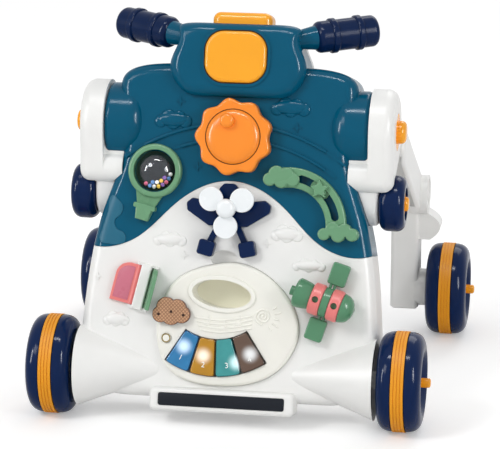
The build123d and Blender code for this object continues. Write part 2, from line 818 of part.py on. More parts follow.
# Pod: a drum on the shoulder whose fork holds the leg, with a limb and an apron down to the side wheel
pod_front = PIVOT.Y - BLADE_HUB_R - SLIDE
apron_end = (PIVOT.Y - APRON_AHEAD, PIVOT.Z - APRON_DROP)
pod_slot = (
    (pod_front, PIVOT.Z + BLADE_HUB_R + SLIDE),
    (PIVOT.Y + FAR, PIVOT.Z + BLADE_HUB_R + SLIDE),
    (PIVOT.Y + FAR, PIVOT.Z - FAR),
)
arm_lean = atan2(PIVOT.Z - ELBOW_Z, ELBOW_Y - PIVOT.Y) + radians(FOLD)
slot_reach = BLADE_HUB_R + 2 * SLIDE
slot_low = (PIVOT.Y - slot_reach * sin(arm_lean), PIVOT.Z - slot_reach * cos(arm_lean))
slot_far = (slot_low[0] + FAR * cos(arm_lean), slot_low[1] - FAR * sin(arm_lean))
panel_room = panel_block(SEAM, PANEL_DEPTH + COVER_THICK + SEAM)
with BuildPart() as pod:
    with BuildSketch(Plane.YZ.offset(LIMB_IN)):
        with Locations((PIVOT.Y, PIVOT.Z)):
            Circle(LIMB_TOP_R)
        with Locations((SIDE_Y, SIDE_Z)):
            Circle(LIMB_LOW_R)
        make_hull()
    extrude(amount=LIMB_OUT - LIMB_IN)
    fillet(pod.faces().sort_by(Axis.X)[-1].edges(), LEG_EDGE)
    with BuildSketch(Plane.YZ.offset(LIMB_IN)):
        with Locations(apron_end, (PIVOT.Y, PIVOT.Z - APRON_DROP)):
            Circle(APRON_R)
        make_hull()
    extrude(amount=SHOULDER_OUT + SEAM - LIMB_IN)
    with BuildSketch(Plane.YZ.offset(SHOULDER_OUT + SEAM)):
        with Locations((PIVOT.Y, PIVOT.Z)):
            Circle(POD_R)
        with Locations(apron_end):
            Circle(APRON_R)
        make_hull()
    extrude(amount=POD_WIDTH)
    fillet(pod.faces(Select.LAST).sort_by(Axis.X)[-1].edges(), POD_EDGE)
    with BuildSketch(Plane.YZ.offset(LIMB_OUT)):
        with Locations((SIDE_Y, SIDE_Z)):
            Circle(SIDE_R + ARCH_ROOM)
    extrude(amount=POD_WIDTH, mode=Mode.SUBTRACT)
    add(panel_room, mode=Mode.SUBTRACT)
    add(shoulder_room, mode=Mode.SUBTRACT)
    with BuildSketch(Plane.YZ.offset(SLOT_IN)):
        with Locations((PIVOT.Y, PIVOT.Z)):
            Circle(BLADE_HUB_R + SLIDE)
        Polygon(*pod_slot, slot_far, slot_low, align=None)
    extrude(amount=SLOT_OUT - SLOT_IN, mode=Mode.SUBTRACT)
    with BuildSketch(Plane.YZ.offset(SLOT_IN)):
        with Locations((PIVOT.Y, PIVOT.Z)):
            Circle(PIN_R)
    extrude(amount=SLOT_OUT - SLOT_IN)
    with BuildSketch(Plane.YZ.offset(POD_OUT)):
        with Locations((PIVOT.Y, PIVOT.Z)):
            Circle(LOCK_DISC_R + SLIDE)
    extrude(amount=-(LOCK_DISC + LOCK_TRAVEL + SLIDE), mode=Mode.SUBTRACT)
    with BuildSketch(Plane.YZ.offset(LIMB_OUT - WALL)):
        with Locations((SIDE_Y, SIDE_Z)):
            Circle(AXLE_R)
    extrude(amount=SIDE_WIDTH + WALL - SIDE_DISH_DEPTH)
save_pair(pod, "pod")

# Lock button in the pod's face
with BuildPart() as lock_button:
    with BuildSketch(Plane.YZ.offset(POD_OUT - LOCK_DISC)):
        with Locations((PIVOT.Y, PIVOT.Z)):
            Circle(LOCK_DISC_R)
    extrude(amount=LOCK_DISC)
    with BuildSketch(Plane.YZ.offset(POD_OUT - LOCK_DISC)):
        with Locations((PIVOT.Y, PIVOT.Z)):
            Circle(LOCK_KNOB_R)
    extrude(amount=LOCK_DISC + LOCK_PROUD)
    fillet(lock_button.faces().sort_by(Axis.X)[-1].edges(), LOCK_PROUD * 0.6)
save_pair(lock_button, "lock_button")

# Small side wheel and its hub cap
side_in = LIMB_OUT + SLIDE
with BuildPart() as side_wheel:
    with BuildSketch(Plane.YZ.offset(side_in)):
        with Locations((SIDE_Y, SIDE_Z)):
            Circle(SIDE_R)
    extrude(amount=SIDE_WIDTH)
    fillet(side_wheel.edges(), SIDE_EDGE)
    with BuildSketch(Plane.YZ.offset(side_in + SIDE_WIDTH)):
        with Locations((SIDE_Y, SIDE_Z)):
            Circle(SIDE_DISH_R + FIT)
    extrude(amount=-SIDE_DISH_DEPTH, mode=Mode.SUBTRACT)
    with BuildSketch(Plane.YZ.offset(side_in)):
        with Locations((SIDE_Y, SIDE_Z)):
            Circle(AXLE_R + RUN)
    extrude(amount=SIDE_WIDTH, mode=Mode.SUBTRACT)
save_pair(side_wheel, "side_wheel")

with BuildPart() as side_cap:
    with BuildSketch(Plane.YZ.offset(side_in + SIDE_WIDTH - SIDE_DISH_DEPTH)):
        with Locations((SIDE_Y, SIDE_Z)):
            Circle(SIDE_DISH_R)
    extrude(amount=SIDE_DISH_DEPTH / 2)
    with BuildSketch(Plane.YZ.offset(side_in + SIDE_WIDTH - SIDE_DISH_DEPTH)):
        with Locations((SIDE_Y, SIDE_Z)):
            Circle(SIDE_PEG_R)
    extrude(amount=SIDE_DISH_DEPTH + SIDE_PEG_PROUD)
    fillet(side_cap.faces().sort_by(Axis.X)[-1].edges(), SIDE_PEG_PROUD)
save_pair(side_cap, "side_cap")

# Rear leg: blade in the pod's fork, arm back to the elbow, post down to the wheel's spigot
arm_angle = atan2(PIVOT.Z - ELBOW_Z, ELBOW_Y - PIVOT.Y)
arm_start = POD_R + ARM_R + 10 * SLIDE
arm_root = (PIVOT.Y + arm_start * cos(arm_angle), PIVOT.Z - arm_start * sin(arm_angle))
arm_out = LEG_IN + ARM_WIDTH
root_in = min(LEG_IN + CHANNEL_WALL / 2, SLOT_IN + SLIDE)
root_out = max(arm_out - CHANNEL_WALL / 2, SLOT_OUT - SLIDE)
post_out = LEG_IN + POST_WIDTH
spacer_out = REAR_TRACK / 2 - WHEEL_WIDTH / 2 + BOSS_SET_IN - SLIDE
spigot_out = REAR_TRACK / 2 + WHEEL_WIDTH / 2 - RECESS_DEPTH - SLIDE
channel_drop = ARM_R * 0.75
channel_from = (arm_root[0] - channel_drop * sin(arm_angle), arm_root[1] - channel_drop * cos(arm_angle))
channel_length = hypot(ELBOW_Y - arm_root[0], arm_root[1] - ELBOW_Z) - ELBOW_R - ARM_R
channel_to = (
    channel_from[0] + channel_length * cos(arm_angle), channel_from[1] - channel_length * sin(arm_angle)
)
with BuildPart() as leg:
    with BuildSketch(Plane.YZ.offset(LEG_IN)):
        with Locations(arm_root):
            Circle(ARM_R)
        with Locations((ELBOW_Y, ELBOW_Z)):
            Circle(ELBOW_R)
        make_hull()
    extrude(amount=ARM_WIDTH)
    fillet(leg.faces().filter_by(Axis.X).edges(), LEG_EDGE)
    with BuildSketch(Plane.XY.offset(POST_BOTTOM)):
        with Locations((LEG_IN + POST_WIDTH / 2, REAR_Y)):
            RectangleRounded(POST_WIDTH, POST_DEPTH, LEG_EDGE)
    extrude(amount=ELBOW_Z - POST_BOTTOM)
    chamfer(leg.faces(Select.LAST).sort_by(Axis.Z)[0].edges(), LEG_EDGE / 2)
    with BuildSketch(Plane.XZ.offset(-(REAR_Y + POST_DEPTH / 2 - LEG_EDGE))):
        with BuildLine():
            heel_top = (LEG_IN + POST_WIDTH / 2, HEEL_HIGH)
            bulge = Spline(
                heel_top,
                (post_out + HEEL_REACH, HEEL_LOW + LEG_EDGE * 2),
                (post_out + HEEL_REACH - LEG_EDGE * 2, HEEL_LOW),
            )
            Polyline(bulge @ 1, (LEG_IN + POST_WIDTH / 2, HEEL_LOW), heel_top)
        make_face()
    extrude(amount=POST_DEPTH - 2 * LEG_EDGE)
    with BuildSketch(Plane.YZ.offset(LEG_IN + CHANNEL_WALL)):
        with Locations(channel_from, channel_to):
            Circle(ARM_R - CHANNEL_WALL)
        make_hull()
    extrude(amount=ARM_WIDTH - 2 * CHANNEL_WALL, mode=Mode.SUBTRACT)
    with BuildSketch(Plane.YZ.offset(root_in)):
        with Locations(arm_root):
            Circle(ARM_R - LEG_EDGE)
    extrude(amount=root_out - root_in)
    with BuildSketch(Plane.YZ.offset(SLOT_IN + SLIDE)):
        with Locations((PIVOT.Y, PIVOT.Z)):
            Circle(BLADE_HUB_R)
        with Locations(arm_root):
            Circle(ARM_R)
        make_hull()
        with Locations((PIVOT.Y, PIVOT.Z)):
            Circle(PIN_R + RUN, mode=Mode.SUBTRACT)
    extrude(amount=SLOT_OUT - SLOT_IN - 2 * SLIDE)
    with BuildSketch(Plane.YZ.offset(arm_out - LEG_EDGE)):
        with Locations((ELBOW_Y, ELBOW_Z)):
            Circle(ELBOW_R)
    extrude(amount=EAR_PROUD + LEG_EDGE)
    with BuildSketch(Plane.YZ.offset(arm_out + EAR_PROUD)):
        with Locations((ELBOW_Y, ELBOW_Z)):
            Circle(ELBOW_R - EAR_RIM)
    extrude(amount=-EAR_DISH, mode=Mode.SUBTRACT)
    with BuildSketch(Plane.YZ.offset(post_out - LEG_EDGE)):
        with Locations((REAR_Y, WHEEL_R)):
            Circle(SPACER_R)
    extrude(amount=REAR_TRACK / 2 - WHEEL_WIDTH / 2 - SLIDE - post_out + LEG_EDGE)
    with BuildSketch(Plane.YZ.offset(post_out)):
        with Locations((REAR_Y, WHEEL_R)):
            Circle(BOSS_R)
    extrude(amount=spacer_out - post_out)
    with BuildSketch(Plane.YZ.offset(post_out)):
        with Locations((REAR_Y, WHEEL_R)):
            Circle(AXLE_R)
    extrude(amount=spigot_out - post_out)
save_pair(leg, "leg")


def stem_plane(side):
    """Root of one handlebar stem, with z pointing along it towards the grip's end."""
    root = panel_point(side * STEM_U, STEM_V, STEM_W)
    flat = cos(radians(STEM_RISE))
    along = (
        side * flat * cos(radians(STEM_SWEEP)), flat * sin(radians(STEM_SWEEP)), sin(radians(STEM_RISE))
    )
    return Plane(origin=root, z_dir=along)


def handlebar_tube(radius):
    """Two stems swept back from a cross tube."""
    right_root = panel_point(STEM_U, STEM_V, STEM_W)
    with BuildPart() as tube:
        for side in (1, -1):
            with BuildSketch(stem_plane(side)):
                Circle(radius)
            extrude(amount=STEM_LENGTH)
            with Locations(panel_point(side * STEM_U, STEM_V, STEM_W)):
                Sphere(radius)
        with BuildSketch(Plane.YZ.offset(-STEM_U)):
            with Locations((right_root.Y, right_root.Z)):
                Circle(radius)
        extrude(amount=2 * STEM_U)
    return tube.part


bar = handlebar_tube(STEM_R)
with BuildPart() as handlebar:
    add(bar)
save(handlebar, "handlebar")

# Soft ribbed grips, one on each stem, in one group
with BuildPart() as grips:
    for stem in (stem_plane(1), stem_plane(-1)):
        with BuildSketch(stem.offset(GRIP_START)):
            Circle(GRIP_R)
        extrude(amount=GRIP_LENGTH)
        fillet(grips.edges(Select.LAST).filter_by(GeomType.CIRCLE), GRIP_EDGE)
        for place in GRIP_RINGS:
            with BuildSketch(stem.offset(GRIP_START + place)):
                Circle(GRIP_RING_R)
            extrude(amount=GRIP_RING_WIDTH)
            round_edges = grips.edges(Select.LAST).filter_by(GeomType.CIRCLE)
            fillet(round_edges.sort_by(SortBy.RADIUS)[-2:], GRIP_RING_R - GRIP_R - FIT)
        with BuildSketch(stem):
            Circle(STEM_R + FIT)
        extrude(amount=STEM_LENGTH + FIT, mode=Mode.SUBTRACT)
save(grips, "grips")


def head_outline(shrink=0.0):
    """Soft front outline of the head, shrunk all round."""
    slant = shrink * 0.7
    with BuildLine() as edge:
        chin = Line((0, HEAD_BOTTOM + shrink), (HEAD_CHIN, HEAD_BOTTOM + shrink))
        cheek = Spline(
            chin @ 1,
            (HEAD_JAW - slant, HEAD_JAW_V + slant),
            (HEAD_HALF - shrink, HEAD_CHEEK_V),
            (HEAD_BROW - slant, HEAD_BROW_V - slant),
            (HEAD_TOP_HALF, HEAD_TOP - shrink),
            tangents=[(1, 0), (-1, 0)],
        )
        Line(cheek @ 1, (0, HEAD_TOP - shrink))
        mirror(about=Plane.YZ)
    make_face(edge.edges())


def lamp_outline(grow=0.0):
    """Rounded square of the lamp button."""
    with Locations((LAMP_U, LAMP_V)):
        RectangleRounded(LAMP_WIDTH + 2 * grow, LAMP_HEIGHT + 2 * grow, LAMP_CORNER + grow)


HORN = Plane(
    origin=panel_point(HORN_U, HEAD_TOP, HORN_W), x_dir=PANEL.x_dir, z_dir=PANEL.y_dir
)
head_seat = panel_block(FIT, PANEL_DEPTH + COVER_THICK + FAR)
bar_room = handlebar_tube(STEM_R + FIT)

# Teal head, hollow from behind, set over the top edge of the panel
with BuildPart() as head_front:
    with BuildSketch(PANEL.offset(HEAD_PROUD)):
        head_outline()
    extrude(amount=HEAD_SPLIT - HEAD_PROUD)
    fillet(head_front.faces().sort_by(OUTWARD)[-1].edges(), HEAD_EDGE)
    with BuildSketch(PANEL.offset(HEAD_PROUD - HEAD_FRONT_WALL)):
        head_outline(HEAD_WALL)
    extrude(amount=HEAD_SPLIT - HEAD_PROUD, mode=Mode.SUBTRACT)
    with BuildSketch(PANEL.offset(HEAD_PROUD - LAMP_RIM)):
        lamp_outline(LAMP_RIM)
    extrude(amount=LAMP_RIM + LAMP_RIM_PROUD)
    with BuildSketch(PANEL.offset(HEAD_PROUD + LAMP_RIM_PROUD)):
        lamp_outline(SLIDE)
    extrude(amount=-(LAMP_POCKET + LAMP_RIM_PROUD), mode=Mode.SUBTRACT)
    with BuildSketch(HORN):
        RectangleRounded(HORN_WIDTH + 2 * SLIDE, HORN_DEPTH + 2 * SLIDE, HORN_EDGE)
    extrude(amount=-HORN_POCKET, mode=Mode.SUBTRACT)
    add(head_seat, mode=Mode.SUBTRACT)
    add(bar_room, mode=Mode.SUBTRACT)
save(head_front, "head_front")

# White back of the head
with BuildPart() as head_back:
    with BuildSketch(PANEL.offset(HEAD_SPLIT)):
        head_outline()
    extrude(amount=HEAD_BACK - HEAD_SPLIT)
    fillet(head_back.faces().sort_by(OUTWARD)[0].edges(), HEAD_BACK_EDGE)
    with BuildSketch(PANEL.offset(HEAD_SPLIT)):
        head_outline(HEAD_WALL)
    extrude(amount=HEAD_BACK - HEAD_SPLIT + HEAD_BACK_EDGE / 2, mode=Mode.SUBTRACT)
    with BuildSketch(PANEL.offset(FAR)):
        with Locations((0, PANEL_TOP + FIT)):
            Rectangle(4 * FAR, FAR, align=(Align.CENTER, Align.MAX))
    extrude(amount=-2 * FAR, mode=Mode.SUBTRACT)
    add(bar_room, mode=Mode.SUBTRACT)
save(head_back, "head_back")

# Lamp button on the head's face
with BuildPart() as lamp_button:
    with BuildSketch(PANEL.offset(HEAD_PROUD - LAMP_POCKET + PUSH + SLIDE)):
        lamp_outline()
    extrude(amount=LAMP_POCKET - PUSH - SLIDE + LAMP_PROUD)
    fillet(lamp_button.faces().sort_by(OUTWARD)[-1].edges(), LAMP_EDGE)
save(lamp_button, "lamp_button")

# Horn button on top of the head
with BuildPart() as horn_button:
    with BuildSketch(HORN.offset(PUSH + SLIDE - HORN_POCKET)):
        RectangleRounded(HORN_WIDTH, HORN_DEPTH, HORN_EDGE)
    extrude(amount=HORN_POCKET - PUSH - SLIDE + HORN_PROUD)
    fillet(horn_button.faces().sort_by(UP_PANEL)[-1].edges(), HORN_EDGE - FIT)
save(horn_button, "horn_button")

# Sun spinner: scalloped wheel with a domed cap and a turning peg
with BuildPart() as sun_wheel:
    with BuildSketch(SUN.offset(SUN_LIFT)):
        with BuildLine():
            rim_points = []
            for step in range(4 * SUN_RAYS):
                turn = radians(step * 90 / SUN_RAYS)
                reach = SUN_R - SUN_SCALLOP * (1 - cos(SUN_RAYS * turn)) / 2
                tilt = turn + radians(SUN_TURN)
                rim_points.append((reach * cos(tilt), reach * sin(tilt)))
            Spline(*rim_points, periodic=True)
        make_face()
    extrude(amount=SUN_THICK)
    fillet(sun_wheel.faces().sort_by(OUTWARD)[-1].edges(), SUN_EDGE)
    with BuildSketch(SUN.offset(SUN_LIFT + SUN_THICK)):
        Circle(SUN_CAP_R + SEAM)
    extrude(amount=-SUN_CAP_SINK, mode=Mode.SUBTRACT)
    with BuildSketch(SUN.offset(SUN_LIFT)):
        Circle(SPINDLE_R + RUN)
    extrude(amount=SUN_THICK, mode=Mode.SUBTRACT)
save(sun_wheel, "sun_wheel")

cap_base = SUN_LIFT + SUN_THICK - SUN_CAP_SINK
with BuildPart() as sun_cap:
    with BuildSketch(side_on(SUN)):
        with BuildLine():
            edge = Polyline((0, cap_base), (SUN_CAP_R, cap_base), (SUN_CAP_R, cap_base + SUN_CAP_SINK))
            crown = Spline(
                edge @ 1, (0, cap_base + SUN_CAP_SINK + SUN_CAP_DOME), tangents=[(-0.5, 1), (-1, 0)]
            )
            Line(crown @ 1, edge @ 0)
        make_face()
    revolve(axis=Axis(SUN.origin, SUN.z_dir))
    with BuildSketch(SUN.offset(cap_base)):
        with PolarLocations(SUN_PEG_OUT, 1, SUN_PEG_ANGLE):
            Circle(SUN_PEG_R)
    extrude(amount=SUN_CAP_SINK + SUN_PEG_HEIGHT)
    fillet(sun_cap.faces(Select.LAST).sort_by(OUTWARD)[-1].edges(), SUN_PEG_R / 2)
save(sun_cap, "sun_cap")

# Balloon rattle: frame with its basket, clear dome and loose beads
basket_top = BASKET_HEIGHT / 2 - BASKET_DROP
neck_half = BALLOON_R / 2
neck_top = -(BALLOON_R**2 - neck_half**2) ** 0.5
with BuildPart() as balloon_frame:
    with BuildSketch(BALLOON):
        Circle(BALLOON_R)
    extrude(amount=BALLOON_THICK)
    fillet(balloon_frame.faces().sort_by(OUTWARD)[-1].edges(), BALLOON_THICK / 3)
    with BuildSketch(BALLOON):
        Polygon(
            (-neck_half, neck_top), (neck_half, neck_top),
            (BASKET_WIDTH / 2, basket_top), (-BASKET_WIDTH / 2, basket_top), align=None,
        )
    extrude(amount=BALLOON_THICK / 2)
    with BuildSketch(BALLOON):
        with Locations((0, -BASKET_DROP)):
            Trapezoid(BASKET_WIDTH, BASKET_HEIGHT, 80, rotation=180)
    extrude(amount=BASKET_PROUD)
    fillet(balloon_frame.faces(Select.LAST).sort_by(OUTWARD)[-1].edges(), WALL / 2)
    with BuildSketch(BALLOON):
        with Locations((0, basket_top)):
            RectangleRounded(BASKET_WIDTH + BASKET_RIM, BASKET_RIM, BASKET_RIM / 3)
    extrude(amount=BASKET_PROUD)
    with BuildSketch(BALLOON):
        Circle(DOME_R + FIT)
    extrude(amount=BALLOON_THICK, mode=Mode.SUBTRACT)
save(balloon_frame, "balloon_frame")

dome_sphere = (DOME_R**2 + DOME_HEIGHT**2) / (2 * DOME_HEIGHT)
dome_centre = DOME_HEIGHT - dome_sphere
with BuildPart() as balloon_dome:
    with BuildSketch(side_on(BALLOON)):
        with BuildLine():
            outer_start = degrees(asin(-dome_centre / dome_sphere))
            inner_start = degrees(asin(-dome_centre / (dome_sphere - DOME_WALL)))
            outer = CenterArc((0, dome_centre), dome_sphere, outer_start, 90 - outer_start)
            inner = CenterArc((0, dome_centre), dome_sphere - DOME_WALL, inner_start, 90 - inner_start)
            Line(outer @ 0, inner @ 0)
            Line(outer @ 1, inner @ 1)
        make_face()
    revolve(axis=Axis(BALLOON.origin, BALLOON.z_dir))
save(balloon_dome, "balloon_dome")

with BuildPart() as balloon_beads:
    for row_r, count in BEAD_ROWS:
        pitch = degrees(BEAD_PITCH / row_r)
        for bead in range(count):
            turn = radians(-90 + (bead - (count - 1) / 2) * pitch)
            place = BALLOON.from_local_coords(Vector(row_r * cos(turn), row_r * sin(turn), BEAD_R + SEAM))
            with Locations(place):
                Sphere(BEAD_R)
save(balloon_beads, "balloon_beads")

# Rainbow track with a cloud at each end, and the star that slides in it
with BuildPart() as rainbow_track:
    with BuildSketch(RAINBOW):
        arc_slot(TRACK_R, TRACK_WIDTH, TRACK_START, TRACK_SPAN)
    extrude(amount=TRACK_PROUD)
    fillet(rainbow_track.faces().sort_by(OUTWARD)[-1].edges(), TRACK_ROOF / 2)
    with BuildSketch(RAINBOW):
        for u, v, width, height in END_CLOUDS:
            with Locations((u, v)):
                cloud(width, height)
    extrude(amount=END_CLOUD_PROUD)
    fillet(rainbow_track.faces(Select.LAST).sort_by(OUTWARD)[-2:].edges(), TRACK_ROOF / 2)
    with BuildSketch(RAINBOW):
        arc_slot(TRACK_R, CHANNEL_WIDTH, CHANNEL_START, CHANNEL_SPAN)
    extrude(amount=TRACK_PROUD - TRACK_ROOF, mode=Mode.SUBTRACT)
    with BuildSketch(RAINBOW):
        arc_slot(TRACK_R, SLOT_WIDTH, CHANNEL_START, CHANNEL_SPAN)
    extrude(amount=TRACK_PROUD, mode=Mode.SUBTRACT)
save(rainbow_track, "rainbow_track")

shoe_start = STAR_ANGLE - STAR_SHOE / 2
with BuildPart() as star_slider:
    with BuildSketch(RAINBOW.offset(SLIDE)):
        arc_slot(TRACK_R, CHANNEL_WIDTH - 2 * SLIDE, shoe_start, STAR_SHOE)
    extrude(amount=TRACK_PROUD - TRACK_ROOF - 2 * SLIDE)
    with BuildSketch(RAINBOW.offset(SLIDE)):
        arc_slot(TRACK_R, SLOT_WIDTH - 2 * SLIDE, shoe_start, STAR_SHOE)
    extrude(amount=TRACK_PROUD)
    with BuildSketch(RAINBOW.offset(TRACK_PROUD + SLIDE)):
        with PolarLocations(TRACK_R, 1, STAR_ANGLE, rotate=False):
            star(STAR_R)
    extrude(amount=STAR_THICK)
    fillet(star_slider.faces(Select.LAST).sort_by(OUTWARD)[-1].edges(), SUN_EDGE / 4)
save(star_slider, "star_slider")

# Aeroplane and its propeller
with BuildPart() as plane_body:
    with BuildSketch(CRAFT) as wings:
        with BuildLine():
            Polyline(
                (0, WING_ROOT_TOP), (WING_HALF * 0.35, WING_ROOT_TOP), (WING_HALF - 6, WING_TIP_TOP),
                (WING_HALF, WING_TIP_TOP - 5), (WING_HALF - 1, WING_TIP_LOW),
                (WING_ROOT_HALF, WING_ROOT_LOW), (0, WING_ROOT_LOW),
            )
            mirror(about=Plane.YZ)
        make_face()
        fillet(wings.vertices().filter_by(lambda corner: abs(corner.X) > WING_ROOT_HALF + SEAM), WING_ROUND)
    extrude(amount=WING_PROUD)
    fillet(plane_body.faces().sort_by(OUTWARD)[-1].edges(), WALL / 2)
    for side in (1, -1):
        with BuildSketch(CRAFT):
            with Locations(Location((side * FLOAT_U, FLOAT_V, 0), (0, 0, side * FLOAT_TURN))):
                RectangleRounded(FLOAT_WIDTH, FLOAT_HEIGHT, WALL)
        extrude(amount=FLOAT_PROUD)
        fillet(plane_body.faces(Select.LAST).sort_by(OUTWARD)[-1].edges(), WALL / 2)
        with BuildSketch(CRAFT):
            with BuildLine():
                Polyline(
                    (side * (WING_ROOT_HALF - 2 * STRUT_WIDTH), WING_ROOT_LOW + 1),
                    (side * (WING_ROOT_HALF - STRUT_WIDTH), WING_ROOT_LOW + 1),
                    (side * (FLOAT_U + STRUT_WIDTH / 2), FLOAT_V),
                    (side * (FLOAT_U - STRUT_WIDTH / 2), FLOAT_V),
                    close=True,
                )
            make_face()
        extrude(amount=WING_PROUD - WALL / 2)
    with BuildSketch(CRAFT) as tail:
        Polygon(
            (-TAIL_HALF / 2, 0), (TAIL_HALF / 2, 0), (TAIL_HALF, TAIL_TOP - 6), (TAIL_HALF / 2, TAIL_TOP),
            (-TAIL_HALF / 2, TAIL_TOP), (-TAIL_HALF, TAIL_TOP - 6), align=None,
        )
        fillet(tail.vertices().filter_by(lambda corner: corner.Y > SEAM), TAIL_ROUND)
    extrude(amount=WING_PROUD - WALL / 2)
    with BuildSketch(CRAFT):
        Circle(NOSE_R)
    extrude(amount=NOSE_PROUD)
    with BuildSketch(CRAFT):
        Circle(PROP_SPINDLE_R)
    extrude(amount=NOSE_PROUD + PROP_HUB_HEIGHT - PROP_HUB_DOME / 2)
save(plane_body, "plane_body")

with BuildPart() as propeller:
    with BuildSketch(CRAFT.offset(NOSE_PROUD + SLIDE)):
        with PolarLocations(PROP_BLADE_OUT, PROP_BLADES, 30):
            Circle(PROP_BLADE_R)
        Circle(PROP_HUB_R)
    extrude(amount=PROP_BLADE_THICK)
    fillet(propeller.faces().sort_by(OUTWARD)[-1].edges(), PROP_BLADE_THICK / 3)
    with BuildSketch(CRAFT.offset(NOSE_PROUD + SLIDE)):
        Circle(PROP_HUB_R)
    extrude(amount=PROP_HUB_HEIGHT)
    fillet(propeller.faces(Select.LAST).sort_by(OUTWARD)[-1].edges(), PROP_HUB_DOME)
    with BuildSketch(CRAFT.offset(NOSE_PROUD + SLIDE)):
        Circle(PROP_SPINDLE_R + RUN)
    extrude(amount=PROP_HUB_HEIGHT - PROP_HUB_DOME / 2, mode=Mode.SUBTRACT)
save(propeller, "propeller")

# Flip book: a spine with two pins, and a page on each pin
pin_u = SPINE_WIDTH / 2 + KNUCKLE_R + SLIDE
knuckle_half = SPINE_LENGTH / 2 - LUG - SLIDE
along_book = Plane(
    origin=BOOK.from_local_coords(Vector(0, -SPINE_LENGTH / 2, 0)), x_dir=BOOK.x_dir, z_dir=BOOK.y_dir
)
with BuildPart() as book_spine:
    with BuildSketch(BOOK):
        Rectangle(SPINE_WIDTH, SPINE_LENGTH)
    extrude(amount=SPINE_PROUD)
    fillet(book_spine.faces().sort_by(OUTWARD)[-1].edges(), WALL / 2)
    with BuildSketch(BOOK):
        with GridLocations(1, SPINE_LENGTH - LUG, 1, 2):
            Rectangle(2 * (pin_u + KNUCKLE_R), LUG)
    extrude(amount=PAGE_LIFT + KNUCKLE_R)
    with BuildSketch(along_book):
        with Locations((pin_u, -PAGE_LIFT), (-pin_u, -PAGE_LIFT)):
            Circle(PAGE_PIN_R)
    extrude(amount=SPINE_LENGTH)
save(book_spine, "book_spine")


def make_page(side, lift, name):
    """A page that swings on the spine's pin, raised by an angle from lying flat."""
    hinge_line = Plane(
        origin=BOOK.from_local_coords(Vector(side * pin_u, -knuckle_half, PAGE_LIFT)),
        x_dir=BOOK.x_dir * (side * cos(radians(lift))) + BOOK.z_dir * sin(radians(lift)),
        z_dir=BOOK.y_dir,
    )
    sheet = Plane(origin=hinge_line.origin, x_dir=hinge_line.x_dir, z_dir=-hinge_line.y_dir)
    far = PAGE_WIDTH - WALL / 4
    with BuildPart() as page:
        with BuildSketch(sheet):
            with BuildLine():
                sides = Polyline(
                    (0, 2 * knuckle_half), (0, 0), (far, 0), (far, 2 * knuckle_half - PAGE_CORNER)
                )
                corner = TangentArc(sides @ 1, (far - PAGE_CORNER, 2 * knuckle_half), tangent=sides % 1)
                Line(corner @ 1, sides @ 0)
            make_face()
        extrude(amount=PAGE_THICK / 2, both=True)
        broad = page.faces().sort_by(Axis(sheet.origin, sheet.z_dir))
        fillet(broad[0].edges() + broad[-1].edges(), WALL / 4)
        with BuildSketch(hinge_line):
            Circle(KNUCKLE_R)
        extrude(amount=2 * knuckle_half)
        with BuildSketch(hinge_line):
            Circle(PAGE_PIN_R + RUN)
        extrude(amount=2 * knuckle_half, mode=Mode.SUBTRACT)
    save(page, name)


make_page(-1, 0, "pink_page")
make_page(1, GREEN_PAGE_REST, "green_page")

